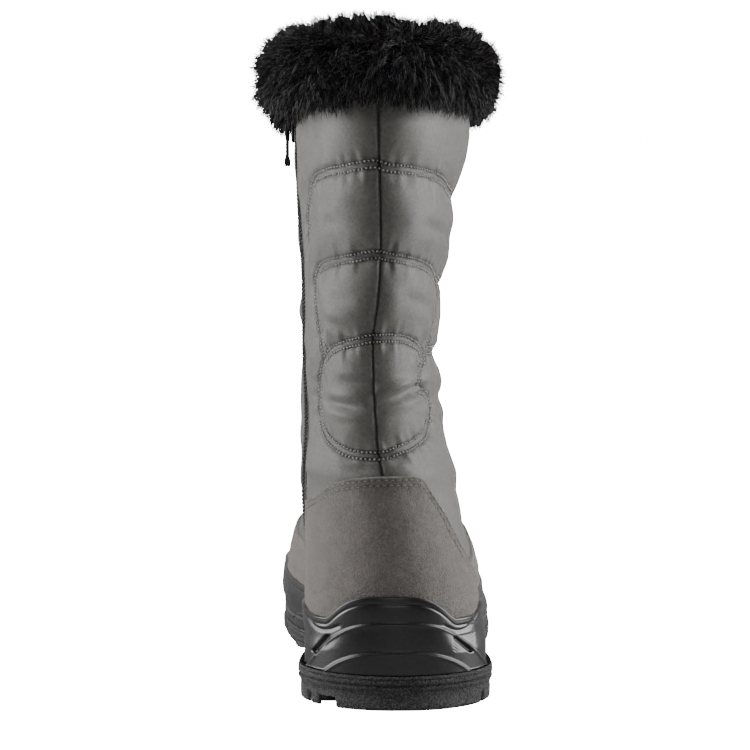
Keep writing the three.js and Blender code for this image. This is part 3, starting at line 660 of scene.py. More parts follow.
def grid_faces(rows, columns, wrap_columns=False, wrap_rows=False, start=0):
    """Quads of a grid whose points run row by row."""
    r = np.arange(rows if wrap_rows else rows - 1)
    c = np.arange(columns if wrap_columns else columns - 1)
    i, j = np.meshgrid(r, c, indexing="ij")
    i2, j2 = (i + 1) % rows, (j + 1) % columns
    quads = np.stack([i * columns + j, i2 * columns + j, i2 * columns + j2, i * columns + j2], axis=-1)
    return quads.reshape(-1, 4) + start


def volume_of(points, faces):
    a, b, c, d = (points[faces[:, k]] for k in range(4))
    return np.sum(a * np.cross(b, c)) + np.sum(a * np.cross(c, d))


def facing_out(points, faces):
    """The quads of a closed mesh, turned round when they face inward."""
    return faces[:, ::-1] if volume_of(points, faces) < 0 else faces


def flat_tube(rows, columns):
    """Quads of a patch: its front rows, then its back rows in reverse, closed at both ends."""
    i = np.arange(rows - 1)
    pair = 2 * rows - 1 - i
    start = np.stack([i, pair, pair - 1, i + 1], axis=1) * columns
    sides = grid_faces(2 * rows, columns, False, True)
    return np.concatenate([sides, start, start[:, ::-1] + columns - 1])


def make_piece(name, points, faces, finish, closed=True, body="boot"):
    """A named object from points in millimetres and quads. A quad may repeat its last corner."""
    points = np.asarray(points, float).reshape(-1, 3)
    faces = np.asarray(faces, int)
    if closed:
        faces = facing_out(points, faces)
    corners = [list(dict.fromkeys(face)) for face in faces.tolist()]
    mesh = bpy.data.meshes.new(name)
    mesh.from_pydata((points / 1000).tolist(), [], [face for face in corners if len(face) > 2])
    mesh.shade_smooth()
    mesh.materials.append(finish.material)
    piece = bpy.data.objects.new(name, mesh)
    bpy.context.scene.collection.objects.link(piece)
    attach(piece, body)
    return piece


def paint_mask(piece, name, values):
    layer = piece.data.attributes.new(name, "FLOAT", "POINT")
    layer.data.foreach_set("value", np.asarray(values, np.float32).ravel())


def lay_cloth(piece, u, v):
    """A UV map in millimetres of cloth, from each point's own two numbers."""
    layer = piece.data.uv_layers.new(name="cloth")
    corner = np.zeros(len(piece.data.loops), int)
    piece.data.loops.foreach_get("vertex_index", corner)
    flat = np.stack([np.asarray(u).ravel()[corner], np.asarray(v).ravel()[corner]], axis=1)
    layer.data.foreach_set("uv", flat.ravel())


# Weave: the over and under of threads, in a UV map laid in millimetres
weave, weave_in, weave_out = effect("weave", {"Threads per mm": 2.0}, ["Height"])
weave_place = weave.nodes.new("ShaderNodeUVMap")
weave_place.uv_map = "cloth"
weave_parts = weave.nodes.new("ShaderNodeSeparateXYZ")
weave.links.new(weave_place.outputs["UV"], weave_parts.inputs[0])


def worked_out(operation, *terms):
    """The result of a maths node in the weave. A term is a number or another node's output."""
    node = weave.nodes.new("ShaderNodeMath")
    node.operation = operation
    for socket, term in zip(node.inputs, terms):
        if isinstance(term, float):
            socket.default_value = term
        else:
            weave.links.new(term, socket)
    return node.outputs[0]


def thread_wave(axis):
    count = worked_out("MULTIPLY", weave_parts.outputs[axis], weave_in.outputs["Threads per mm"])
    return worked_out("SINE", worked_out("MULTIPLY", count, math.pi))


weave_height = worked_out("MULTIPLY_ADD", thread_wave("X"), thread_wave("Y"), 0.5)
weave.links.new(weave_height, weave_out.inputs["Height"])

nylon = Finish("quilted nylon", "6f6d69", 0.5)
nylon.set(Sheen_Weight=0.25, Sheen_Roughness=0.4)
nylon_grain = nylon.group(grain, Scale=900, Patches=30)
nylon_weave = nylon.group(weave, Threads_per_mm=2.6)
nylon_mix = nylon.blend(nylon_grain.outputs["Speckle"], "646260", "73716d")
# Painted shade: the seam rows, the back seam and the zip's stitch rows darkened towards near black
nylon.blend(nylon.painted("painted_shade"), nylon_mix, "1a1919")
nylon.vary(nylon_grain.outputs["Patch"], 0.46, 0.6)
nylon.bump(nylon_weave.outputs["Height"], 0.05, 0.5)

AROUND = 400
SHAFT_FROM = 7
INSIDE_FACE = -1.4
around = full_turn(AROUND)
foot_levels = np.linspace(0, SHAFT_FROM, 34, endpoint=False)
levels = np.concatenate([foot_levels, np.linspace(SHAFT_FROM, COLLAR, 188)])
grid_angle, grid_level = np.meshgrid(around, levels)
grid_turn = math.pi - grid_angle
grid_up = last_up(grid_angle, grid_level)
relief, painted_shade = quilt(grid_turn, grid_up)
outside = off_last(grid_angle, grid_level, relief)
turn_in = [off_last(around, COLLAR, -0.8)]
turn_in += [off_last(around, level, INSIDE_FACE) for level in np.linspace(COLLAR, 0, 20)]
turn_in[0][:, 2] = COLLAR_HEIGHT + 0.6
outside[-1, :, 2] = COLLAR_HEIGHT
upper_points = np.concatenate([outside, np.stack(turn_in)])
upper_rows = len(levels) + len(turn_in)
upper_faces = grid_faces(upper_rows, AROUND, True, True)
upper = make_piece("quilted_upper", upper_points, upper_faces, nylon)
# The painted shade mask for the seams is kept on the mesh; the turned-in rows get none
paint_mask(upper, "painted_shade", np.concatenate([painted_shade, np.zeros((len(turn_in), AROUND))]))
lay_cloth(
    upper,
    np.concatenate([way_round(grid_turn)] + [way_round(math.pi - around)[None]] * len(turn_in)),
    upper_points[..., 2],
)
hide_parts("upper")

# Quilting thread
# Small lockstitches, paler than the nylon, sunk in both rows of every seam. Each stitch is a low
# capsule that dives into the cloth at both ends.
STITCH_PITCH = 1.7
STITCH_LENGTH = 1.0
STITCH_RADIUS = 0.5
STITCH_SIDES = 5
# Rings of a stitch: share of its length, share of its radius, and lift in radii
STITCH_RINGS = ((0.0, 0.35, -0.5), (0.2, 1.0, 0.25), (0.8, 1.0, 0.25), (1.0, 0.35, -0.5))

thread = grained("quilting thread", 0.5, "94928e", "b8b6b1", 0.05, 2500)


def stitch_mesh(starts, ends, outs, radius):
    """Low capsules from start to end, bowed outward: points and quads."""
    run = ends - starts
    along = unit(run)
    across = unit(np.cross(along, outs))
    rings = []
    for t, size, lift in STITCH_RINGS:
        middle = starts + t * run + outs * (lift * radius)
        for k in range(STITCH_SIDES):
            turn = 2 * math.pi * k / STITCH_SIDES
            spoke = across * math.cos(turn) + outs * math.sin(turn)
            rings.append(middle + spoke * (size * radius))
    points = np.stack(rings, axis=1)
    faces = [grid_faces(len(STITCH_RINGS), STITCH_SIDES, True)]
    faces.append(np.array([[4, 3, 2, 1], [4, 1, 0, 0], [16, 17, 18, 19], [15, 16, 19, 19]]))
    one = np.concatenate(faces)
    every = one[None] + points.shape[1] * np.arange(len(starts))[:, None, None]
    return points.reshape(-1, 3), every.reshape(-1, 4)


def sew(line, surface, pitch, length, radius):
    """Stitches along a line of way and height, laid on a surface function."""
    gaps = np.hypot(*np.diff(line, axis=0).T)
    run = np.concatenate([[0], np.cumsum(gaps)])
    starts = np.arange(0.5, run[-1] - length, pitch)
    (start_points, outs), (end_points, _) = (
        surface(np.stack([np.interp(at, run, line[:, k]) for k in (0, 1)], axis=1))
        for at in (starts, starts + length)
    )
    return stitch_mesh(start_points, end_points, outs, radius)


def beside(line, offset):
    """A line moved sideways."""
    span = np.gradient(line, axis=0)
    span /= np.maximum(np.hypot(*span.T), 1e-9)[:, None]
    return line + offset * np.stack([-span[:, 1], span[:, 0]], axis=1)


def on_nylon(place):
    turn = np.interp(place[:, 0], way, turns)
    up = np.clip(place[:, 1], 20, COLLAR_HEIGHT - 1)
    angle = math.pi - turn
    level = level_at(angle, up)
    lift, _ = quilt(turn, up)
    return off_last(angle, level, lift + 0.12), last_normal(angle, level)


def join_parts(name, parts, finish, body="boot"):
    """One named piece from several closed meshes."""
    points, faces, count = [], [], 0
    for part_points, part_faces in parts:
        points.append(part_points)
        faces.append(part_faces + count)
        count += len(part_points)
    return make_piece(name, np.concatenate(points), np.concatenate(faces), finish, body=body)


rows_of_stitches = []
for name, line in seam_lines.items():
    if name == "under the fur":
        continue
    for offset in (-ROWS_APART / 2, ROWS_APART / 2):
        row = beside(line, offset)
        rows_of_stitches.append(sew(row, on_nylon, STITCH_PITCH, STITCH_LENGTH, STITCH_RADIUS))
join_parts("quilting_stitches", rows_of_stitches, thread)

# Lining
# Dark felt glued inside the padding, from the collar down to the bed. It is a little wavy, and
# its top edge is turned in under the fur.
felt = grained("felt lining", 0.95, "201f1e", "3a3937", 0.35, 1300, 45)
felt.set(Sheen_Weight=0.3, Sheen_Roughness=0.5)
LINING_AROUND = 180
lining_angle = full_turn(LINING_AROUND)
LINING_ROWS = 90
lining_rows = []
for level in np.linspace(0, COLLAR, LINING_ROWS):
    lift = 0.25 * ripples(way_round(math.pi - lining_angle), np.full(LINING_AROUND, level * 15), 9, 40)
    lining_rows.append(off_last(lining_angle, level, -WALL + lift))
lining_rows[0][:, 2] = bed_height(lining_rows[0][:, 1]) + 0.2
lining_rows += [off_last(lining_angle, level, -1.8) for level in np.linspace(COLLAR, 0, 40)]
lining_rows[LINING_ROWS][:, 2] += 0.5
lining_faces = grid_faces(len(lining_rows), LINING_AROUND, True, True)
make_piece("felt_lining", np.stack(lining_rows), lining_faces, felt)

# Insole
# A loose foam sheet with a felt top that lies on the bed, its edge rounded by the die.
INSOLE = 4
insole_finish = grained("insole cloth", 0.9, "282624", "423f3b", 0.3, 1500)
INSOLE_AROUND = 160
FOOT_MIDDLE = -3.5
insole_angle = full_turn(INSOLE_AROUND)
rim_line = off_last(insole_angle, 0, -WALL - 2 * GAP)
spine = rim_line.copy()
spine[:, 0] = FOOT_MIDDLE
insole_rows = []
for inward, rise in ((0.5, 0.0), (0.12, 0.0), (0.03, 0.5), (0.0, 1.5), (0.0, 2.6), (0.03, 3.5), (0.10, 4.0),
                     (0.3, 4.0), (0.5, 3.8), (0.75, 3.7), (0.98, 3.7)):
    ring = lerp(rim_line, spine, inward)
    ring[:, 2] = bed_height(ring[:, 1]) + rise * INSOLE / 4
    insole_rows.append(ring)
insole_faces = grid_faces(len(insole_rows), INSOLE_AROUND, True, True)
insole = make_piece("insole_pad", np.stack(insole_rows), insole_faces, insole_finish)
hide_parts("insole")

# Sole shell
# A cup of satin black rubber, moulded in one and bonded round the foot. Its top edge arches over
# the heel and rises to a horn at each side, and two stepped arcs make the heel bumper.
OUTSOLE_HEEL = 15
OUTSOLE_BALL = 10
TOE_SPRING = 12
ARCH_LIFT = 3
RAND_HEIGHT = 48
RUBBER_EDGE = 2.9
LIP_HEEL = 2.8
LIP_BALL = 0.7
BUMPER_STEP = 1.1
SOLE_HEEL_ROUND = 0.125
SOLE_TOE_ROUND = 0.25
TOE_LEAN = 7
HEEL_ARCH_ASIDE = 2.0
HEEL_ARCH_REACH = 43
SOLE = columns_of(
    "along width medial lateral",
    [
        (0.0, HEEL_WIDTH, 0.51, 0.505),
        (0.16, HEEL_WIDTH, 0.515, 0.502),
        (0.3, HEEL_WIDTH, 0.47, 0.47),
        (0.42, WAIST_WIDTH, 0.505, 0.53),
        (0.55, BALL_WIDTH, 0.475, 0.445),
        (0.68, BALL_WIDTH, 0.524, 0.476),
        (0.8, BALL_WIDTH, 0.485, 0.470),
        (0.9, BALL_WIDTH, 0.44, 0.45),
        (1.0, BALL_WIDTH, 0.41, 0.43),
    ],
)
for side in ("medial", "lateral"):
    SOLE[side] *= SOLE["width"]
RAND = columns_of(
    "along medial lateral",
    [
        (0.000, 1.00, 1.00),
        (0.012, 0.98, 0.98),
        (0.024, 0.93, 0.94),
        (0.045, 0.79, 0.83),
        (0.075, 0.77, 0.77),
        (0.100, 0.79, 0.80),
        (0.140, 0.83, 0.85),
        (0.220, 0.80, 0.78),
        (0.350, 0.73, 0.65),
        (0.500, 0.69, 0.61),
        (0.680, 0.79, 0.65),
        (0.850, 0.82, 0.78),
        (1.000, 0.88, 0.88),
    ],
)


def ground_line(share):
    arch = within(share, 0.27, 0.54, 0.09)
    return ARCH_LIFT * arch + TOE_SPRING * np.maximum(0, (share - 0.74) / 0.26) ** 1.8


def rim_height(share):
    spring = TOE_SPRING * np.maximum(0, (share - 0.7) / 0.3) ** 1.8
    return lerp(OUTSOLE_HEEL, OUTSOLE_BALL, smoothstep(share, 0.2, 0.6)) + spring


def sole_point(angle, inset, height):
    angle, inset, height = np.broadcast_arrays(*(np.asarray(v, float) for v in (angle, inset, height)))
    share = share_of(angle)
    ends = round_end(share / SOLE_HEEL_ROUND) * round_end((1 - share) / SOLE_TOE_ROUND)
    half = of_side(SOLE, angle, share) - inset
    x = -TOE_LEAN * smoothstep(share, 0.55, 1) + np.where(np.sin(angle) >= 0, 1, -1) * ends * half
    y = inset + share * (SOLE_LENGTH - 2 * inset) - HEEL_CENTRE
    return np.stack([x, y, height], axis=-1)


def rand_height(angle):
    along_side = RAND_HEIGHT * of_side(RAND, angle, np.maximum(share_of(angle), 0.072))
    x = sole_point(angle, LIP_HEEL, 0.0)[..., 0]
    arch = RAND_HEIGHT * (1 - np.abs((x + HEEL_ARCH_ASIDE) / HEEL_ARCH_REACH) ** 3.6)
    return np.logaddexp(arch / 1.1, along_side / 1.1) * 1.1


def heel_arch(x, foot, top, reach_):
    return lerp(foot, top, np.maximum(0, 1 - np.abs(x / reach_) ** 3.3))


def bumper(x, z, share):
    outer = heel_arch(x, OUTSOLE_HEEL, 0.775 * RAND_HEIGHT, 0.46 * HEEL_WIDTH)
    inner = heel_arch(x, OUTSOLE_HEEL, 0.515 * RAND_HEIGHT, 0.36 * HEEL_WIDTH)
    steps = smoothstep(outer - z, -0.5, 0.5) + smoothstep(inner - z, -0.5, 0.5)
    bead = bell(outer - z - 0.6, 0.7) + bell(inner - z - 0.6, 0.7)
    return (BUMPER_STEP * steps + 0.45 * bead) * (1 - smoothstep(share, 0.08, 0.15))


# Slots and grooves moulded in the heel: x and height of both ends, depth and half width
HEEL_SLOTS = [
    (-36, 22, -30, 29.5, 1.7, 0.9),
    (25.5, 29.5, 32, 23.5, 1.7, 0.9),
]
# Fine slanted ribs in a panel on the heel's outer side: where it starts and ends, and the ribs
RIB_PANEL_X = (24, 34)
RIB_PANEL_UP = (23.5, 31)
RIB_PITCH = 1.5
RIB_DEPTH = 0.22
# A groove along both sides of the foot above the rim, and a finer one below the shell's top edge
GROOVE_UP = 5.6
GROOVE_DEPTH = 0.7
LIP_BELOW = 2.6
LIP_DEPTH = 0.35
BAND_DEPTH = 0.55
DEEPEST = 1.8
# The line under the top band, at each side of the heel
BAND_LINES = [
    [(-40.5, 41), (-39.2, 36.5), (-36.6, 33.2), (-33, 32), (-29, 32.8), (-25.5, 34.6)],
    [(36.5, 42.5), (35, 37.5), (31.8, 33.6), (27.6, 32.4), (23.8, 33.2), (20.5, 35.2)],
]


def shell_point(angle, share):
    """A point of the shell's outside, and a mask of painted shade for its sunk slots, lines, ribs and
    grooves.
    """
    along = share_of(angle)
    top = rand_height(angle)
    height = lerp(rim_height(along) + GAP, top, share)
    lip = lerp(LIP_HEEL, LIP_BALL, smoothstep(along, 0.25, 0.5))
    low = sole_point(angle, lip, height)
    low = sole_point(angle, lip - bumper(low[..., 0], height, along), height)
    level = level_at(angle, height)
    base = last_point(angle, level)
    normal = last_normal(angle, level)
    high = base + normal * (GAP + RUBBER_EDGE)
    wall = np.sum((low - base) * normal, axis=-1)
    mix = np.where(wall < GAP + RUBBER_EDGE, 1, smoothstep(share, 0.35, 1))
    point = lerp(low, high, mix[..., None])
    x, z = point[..., 0], height
    flat = np.stack([x.ravel(), z.ravel()], axis=1)
    sink = np.zeros(len(flat))
    for x0, z0, x1, z1, depth, half in HEEL_SLOTS:
        far, _ = near_line(flat, np.array([[x0, z0], [x1, z1]]))
        sink += depth * (1 - smoothstep(far, 0.5 * half, 1.2 * half))
    for row in BAND_LINES:
        far, _ = near_line(flat, smooth_line(row))
        sink += BAND_DEPTH * bell(far, 0.75)
    at_heel = 1 - smoothstep(along, 0.10, 0.16)
    sink = np.minimum(sink, DEEPEST).reshape(x.shape) * at_heel
    panel = within(x, *RIB_PANEL_X) * within(z, *RIB_PANEL_UP) * at_heel
    sink += RIB_DEPTH * panel * (1 + np.sin(2 * math.pi * (x - z) / RIB_PITCH))
    groove_far = height - rim_height(along) - GROOVE_UP
    sink += GROOVE_DEPTH * bell(groove_far, 0.55) * smoothstep(along, 0.2, 0.28)
    sink += LIP_DEPTH * bell(top - height - LIP_BELOW, 0.5)
    outward = normal.copy()
    outward[..., 2] = 0
    point = point - unit(outward) * sink[..., None]
    point[..., 2] = height
    # Painted shade: the deeper a place is sunk, the darker it is painted
    return point, np.clip(sink / 1.2, 0, 1)


rubber = grained("shell rubber", 0.3, "161617", "1b1b1c", 0.03, 700, 35, "Patch")
rubber.set(Specular_IOR_Level=0.8, Coat_Weight=0.25, Coat_Roughness=0.2)
# Painted shade: slots, lines, ribs and grooves darkened towards black
rubber.blend(rubber.painted("painted_shade"), rubber.mix, "050505")
rubber.vary(rubber.marks["Patch"], 0.27, 0.34)

SHELL_AROUND = 600
SHELL_ROWS = 92
shell_angle = full_turn(SHELL_AROUND)
shell_grid_angle, shell_grid_share = np.meshgrid(shell_angle, np.linspace(0, 1, SHELL_ROWS))
shell_outside, shell_painted_shade = shell_point(shell_grid_angle, shell_grid_share)
top_height = rand_height(shell_angle)
top_level = level_at(shell_angle, top_height)
shell_inside = []
for offset, rise in ((2.7, 0.35), (1.6, 0.5), (0.5, 0.2), (0.05, -0.5), (0.0, -4.0)):
    row = off_last(shell_angle, top_level, GAP + offset)
    row[:, 2] = top_height + rise
    shell_inside.append(row)
for part in (0.75, 0.5, 0.25, 0.05):
    shell_inside.append(off_last(shell_angle, part * top_level, GAP))
shell_points = np.concatenate([shell_outside, np.stack(shell_inside)])
shell_faces = grid_faces(len(shell_points), SHELL_AROUND, True, True)
shell = make_piece("sole_shell", shell_points, shell_faces, rubber)
paint_mask(shell, "painted_shade", np.concatenate([shell_painted_shade, np.zeros((len(shell_inside), SHELL_AROUND))]))
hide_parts("sole_shell")

# Outsole
# A grainy carbon-filled rubber unit under the shell: a double ribbed rim, and lugs cut by
# side grooves, with a narrower row of blocks down the middle.
LUG_HEIGHT = 4.5
GROOVE_WIDTH = 5
CENTRE_STRIP = 15
STRIP_GAP = 1.75
RIM_RIBS = [(1.4, None), (0.9, 6.6), (0.25, 5.9), (0.1, 5.2), (0.5, 4.8), (1.3, 4.5), (1.3, 4.1), (0.3, 3.8),
            (0.0, 3.2), (0.0, 2.3), (0.25, 1.9), (0.6, 1.7), (0.25, 1.5), (0.0, 1.1), (0.15, 0.4), (0.8, 0.0)]

tread = grained("tread rubber", 0.75, "2a2a2b", "5a5a5b", 0.35, 1500, 40)
tread.vary(tread.marks["Patch"], 0.65, 0.9)

RIM_AROUND = 520
rim_angle = full_turn(RIM_AROUND)
rim_share = share_of(rim_angle)
rim_rows = []
for inset, below in RIM_RIBS:
    height = rim_height(rim_share) - below if below is not None else ground_line(rim_share) + LUG_HEIGHT
    height = np.maximum(height, ground_line(rim_share) + 0.5 * LUG_HEIGHT + 0.1 * inset)
    rim_rows.append(sole_point(rim_angle, inset, height))


def bridged(width, start, low):
    """A cap over a ring: strips between the two sides, from toe to heel."""
    half = width // 2
    j = np.arange(half)
    quads = np.stack([j, j + 1, width - j - 1, (width - j) % width], axis=1)
    return (quads if low else quads[:, ::-1]) + start


plate_faces = np.concatenate([
    grid_faces(len(rim_rows), RIM_AROUND, True),
    bridged(RIM_AROUND, 0, False),
    bridged(RIM_AROUND, (len(rim_rows) - 1) * RIM_AROUND, True),
])
sole_meshes = [(np.concatenate(rim_rows), plate_faces)]


def outline_at(share, side, inset):
    return sole_point(angle_at(share, side), inset, np.zeros_like(share))


def lug(rail_a, rail_b):
    """A block of tread between two rails of x and y, its foot bevelled."""
    ring = np.concatenate([rail_a, rail_b[::-1]])
    n, count = len(rail_a), len(ring)
    middle = ring.mean(axis=0)
    share = np.clip((ring[:, 1] + HEEL_CENTRE) / SOLE_LENGTH, 0, 1)
    low = ground_line(share)
    draw = unit(middle - ring)
    rows = []
    for inset, up in ((1.0, 0.0), (0.35, 0.35), (0.1, 1.2), (0.0, LUG_HEIGHT + 0.8)):
        place = ring + draw * inset
        rows.append(np.column_stack([place, low + up]))
    points = np.concatenate(rows)
    i = np.arange(n - 1)
    cap = np.stack([i, i + 1, count - i - 2, count - i - 1], axis=1)
    faces = np.concatenate([grid_faces(4, count, True), cap, cap[:, ::-1] + 3 * count])
    return points, facing_out(points, faces)


def side_rails(start, end, side, slant):
    share = np.linspace(start, end, 12)
    outer = outline_at(share, side, 1.0)[:, :2]
    inner = np.column_stack([np.full(12, side * (CENTRE_STRIP + STRIP_GAP)), outer[:, 1]])
    keep = np.abs(outer[:, 0]) > CENTRE_STRIP + 3
    inner[:, 1] -= slant * 22
    outer[:, 1] += slant * (np.abs(outer[:, 0]) - CENTRE_STRIP - 22)
    return inner[keep], outer[keep]


HALF_GROOVE = GROOVE_WIDTH / 2 / SOLE_LENGTH
SIDE_LUGS = [(0.065, 0.175, 0.0), (0.175, 0.235, 0.12), (0.560, 0.625, 0.25), (0.625, 0.690, 0.25),
             (0.690, 0.755, 0.25), (0.755, 0.820, 0.28), (0.820, 0.885, 0.32)]
for start, end, slant in SIDE_LUGS:
    for side in (-1, 1):
        rail_in, rail_out = side_rails(start + HALF_GROOVE, end - HALF_GROOVE, side, slant)
        sole_meshes.append(lug(rail_in, rail_out))
CENTRE_LUGS = [(0.065, 0.235), (0.560, 0.59), (0.59, 0.66), (0.66, 0.735), (0.735, 0.80), (0.80, 0.885)]
for start, end in CENTRE_LUGS:
    share = np.linspace(start + HALF_GROOVE, end - HALF_GROOVE, 10)
    y = share * SOLE_LENGTH - HEEL_CENTRE
    lean = -TOE_LEAN * smoothstep(share, 0.55, 1)
    half_width = CENTRE_STRIP - STRIP_GAP
    sole_meshes.append(lug(
        np.column_stack([lean - half_width, y]),
        np.column_stack([lean + half_width, y]),
    ))
# A notch in the heel's back edge, left of the middle as seen from behind
HEEL_NOTCH = (-32.4, -26.4)
for start, end in ((0.235 + HALF_GROOVE, 0.560 - HALF_GROOVE), (0.885 + HALF_GROOVE, 0.995)):
    share = np.linspace(start, end, 26)
    sole_meshes.append(lug(outline_at(share, -1, 1.0)[:, :2], outline_at(share, 1, 1.0)[:, :2]))
share = 0.065 * np.linspace(0.0, 1, 30) ** 1.6
heel_in = outline_at(share, -1, 1.0)[:, :2]
heel_out = outline_at(share, 1, 1.0)[:, :2]
heel_in_inner = np.column_stack([np.maximum(heel_in[:, 0], HEEL_NOTCH[1]), heel_in[:, 1]])
sole_meshes.append(lug(heel_in_inner, heel_out))
corner = heel_in[:, 0] < HEEL_NOTCH[0] - 1
notch_side = np.column_stack([np.full(corner.sum(), HEEL_NOTCH[0]), heel_in[corner, 1]])
sole_meshes.append(lug(heel_in[corner], notch_side))
outsole = join_parts("lugged_outsole", sole_meshes, tread)
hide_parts("outsole")

# Suede overlays
# Warm grey split suede cut to shape and laid over the nylon: a counter round the heel and a
# mudguard round the toe and sides. Edges are turned and held by two rows of stitching.
OVERLAY = 1.5
COUNTER = columns_of(
    "along medial lateral",
    [
        (0.000, 0.738, 0.738),
        (0.030, 0.724, 0.728),
        (0.050, 0.715, 0.690),
        (0.070, 0.700, 0.620),
        (0.095, 0.682, 0.520),
        (0.125, 0.662, 0.435),
        (0.170, 0.642, 0.375),
        (0.220, 0.630, 0.350),
    ],
)
MUDGUARD = columns_of(
    "along medial lateral",
    [
        (0.00, 0.43, 0.36),
        (0.20, 0.43, 0.36),
        (0.35, 0.41, 0.34),
        (0.50, 0.41, 0.35),
        (0.65, 0.43, 0.38),
        (0.80, 0.46, 0.44),
        (0.90, 0.49, 0.485),
        (1.00, 0.51, 0.51),
    ],
)
COUNTER_MEDIAL = (ZIP_FROM_BACK - COIL_WIDTH) / SOLE_LENGTH
COUNTER_LATERAL = 0.215
OVERLAY_JOINT = 0.004
EDGE_ROWS = (1.7, 3.9)

suede = grained("grey suede", 0.95, "5f5955", "8c8681", 0.3, 2100)
suede.set(Sheen_Weight=0.35, Sheen_Roughness=0.6)
# Painted shade: darker along the pressed stitch lines and the turned edge, and over the whole back face
suede.blend(suede.painted("painted_shade"), suede.mix, "34312f")
suede_thread = grained("suede thread", 0.6, "868079", "aaa49e", 0.05, 2500)


def top_of(table, angle):
    return ANKLE_HEIGHT * of_side(table, angle, share_of(angle))


def edge_stretch(table, angle):
    """How much longer than square to the edge a straight-down step is."""
    step = 0.004
    rise = top_of(table, angle + step) - top_of(table, angle - step)
    run = way_round(turn_of(angle + step)) - way_round(turn_of(angle - step))
    return np.sqrt(1 + np.minimum((rise / run) ** 2, 9))


def overlay_piece(name, node, table, first, final, columns, rows):
    """A patch with rounded edges and a pressed line under each row of stitches."""
    angle = np.linspace(first, final, columns)
    low = level_at(angle, rand_height(angle) - 1.5)
    high = level_at(angle, top_of(table, angle))
    spread = 0.5 - 0.5 * np.cos(np.linspace(0, math.pi, rows))
    spread = lerp(np.linspace(0, 1, rows), spread, 0.35)
    level = low + (high - low) * spread[:, None]
    angles = np.broadcast_to(angle, level.shape)
    up = last_up(angles, level)
    lift, _ = quilt(turn_of(angles), up)
    ends_way = way_round(turn_of(angle))
    from_end = np.minimum(np.abs(ends_way - ends_way[0]), np.abs(ends_way - ends_way[-1]))
    from_top = (top_of(table, angles) - up) / edge_stretch(table, angle)
    edge = np.minimum(from_top, np.broadcast_to(from_end, level.shape))
    rounded = np.sqrt(np.clip(1 - (1 - np.clip(edge / 1.3, 0, 1)) ** 2, 0, 1))
    pressed = np.zeros(level.shape)
    for row in EDGE_ROWS:
        pressed += bell(edge - row, 0.55)
    nap = 0.22 * ripples(angles * 60, up, 8, 70) + 0.1 * ripples(angles * 60, up, 3.1, 71)
    offset = lift + 0.25 + OVERLAY * rounded + (nap - 0.38 * pressed) * rounded
    front = off_last(angles, level, offset)
    back = off_last(angles, level, lift - 0.4)
    points = np.concatenate([front, back[::-1]])
    piece = make_piece(name, points, flat_tube(rows, columns), suede)
    # Painted shade: in the pressed lines and where the edge turns down, and all over the back face
    front_painted_shade = 0.5 * pressed * rounded + 0.35 * (1 - rounded)
    paint_mask(piece, "painted_shade", np.concatenate([front_painted_shade, np.ones(level.shape)]))
    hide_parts(node)


def on_suede(angle, up):
    level = level_at(angle, up)
    lift, _ = quilt(turn_of(angle), up)
    return off_last(angle, level, lift + 0.25 + OVERLAY - 0.2), last_normal(angle, level)


def sew_edge(table, first, final, radius=0.3, pitch=2.9, length=2.0):
    """Two rows of stitches under an overlay's top edge."""
    parts = []
    for row in EDGE_ROWS:
        angle = np.linspace(first, final, 1500)
        row_up = top_of(table, angle) - row * edge_stretch(table, angle)
        place, _ = on_suede(angle, row_up)
        run = np.concatenate([[0], np.cumsum(np.linalg.norm(np.diff(place, axis=0), axis=1))])
        starts = np.arange(row, run[-1] - row - length, pitch)
        a, b = (np.interp(at, run, angle) for at in (starts, starts + length))
        start_points, outs = on_suede(a, top_of(table, a) - row * edge_stretch(table, a))
        end_points, _ = on_suede(b, top_of(table, b) - row * edge_stretch(table, b))
        parts.append(stitch_mesh(start_points, end_points, outs, radius))
    return parts


counter_first = float(angle_at(COUNTER_LATERAL, 1))
counter_final = float(angle_at(COUNTER_MEDIAL, -1))
overlay_piece("heel_counter", "heel_counter", COUNTER, counter_first, counter_final, 240, 90)
guard_first = float(angle_at(COUNTER_MEDIAL + OVERLAY_JOINT, -1)) - 2 * math.pi
guard_final = float(angle_at(COUNTER_LATERAL + OVERLAY_JOINT, 1))
overlay_piece("toe_mudguard", "mudguard", MUDGUARD, guard_first, guard_final, 360, 50)
join_parts(
    "suede_stitches",
    sew_edge(COUNTER, counter_first, counter_final) + sew_edge(MUDGUARD, guard_first, guard_final),
    suede_thread,
)

# Zip
# A woven tape sewn under a slit on the inner side, with a nylon coil up its middle, a small
# slider near the top and a thin pull that hangs from the slider's pin.
FUR_HEIGHT = 37
CUFF_BOTTOM = COLLAR_HEIGHT - 0.75 * FUR_HEIGHT
ZIP_BOTTOM = 0.433 * ANKLE_HEIGHT
ZIP_TOP = CUFF_BOTTOM - GAP
COIL_PITCH = 1.7
TAPE_WIDTH = 10

coil = grained("zip coil", 0.35, "29292a", "424243", 0.03, 1800, 80)
tape = Finish("zip tape", "5a5855", 0.75)
tape_weave = tape.group(weave, Threads_per_mm=3.0)
tape_grain = tape.group(grain, Scale=1200, Patches=60)
tape.blend(tape_grain.outputs["Speckle"], "504e4c", "656360")
tape.bump(tape_weave.outputs["Height"], 0.15)


def zip_line(height):
    """Angle and level of the zip at each height."""
    level = level_at(np.full(height.shape, 1.5 * math.pi), height)
    for _ in range(5):
        level = level_at(zip_angle(level), height)
    return zip_angle(level), level


def zip_point(height, aside, offset):
    angle, level = zip_line(height)
    lift, _ = quilt(turn_of(angle), height)
    base = off_last(angle, level, lift + offset)
    out = last_normal(angle, level)
    rise = unit(np.gradient(base, axis=0))
    across = unit(np.cross(out, rise))
    return base + across * np.asarray(aside)[..., None], out, across, rise


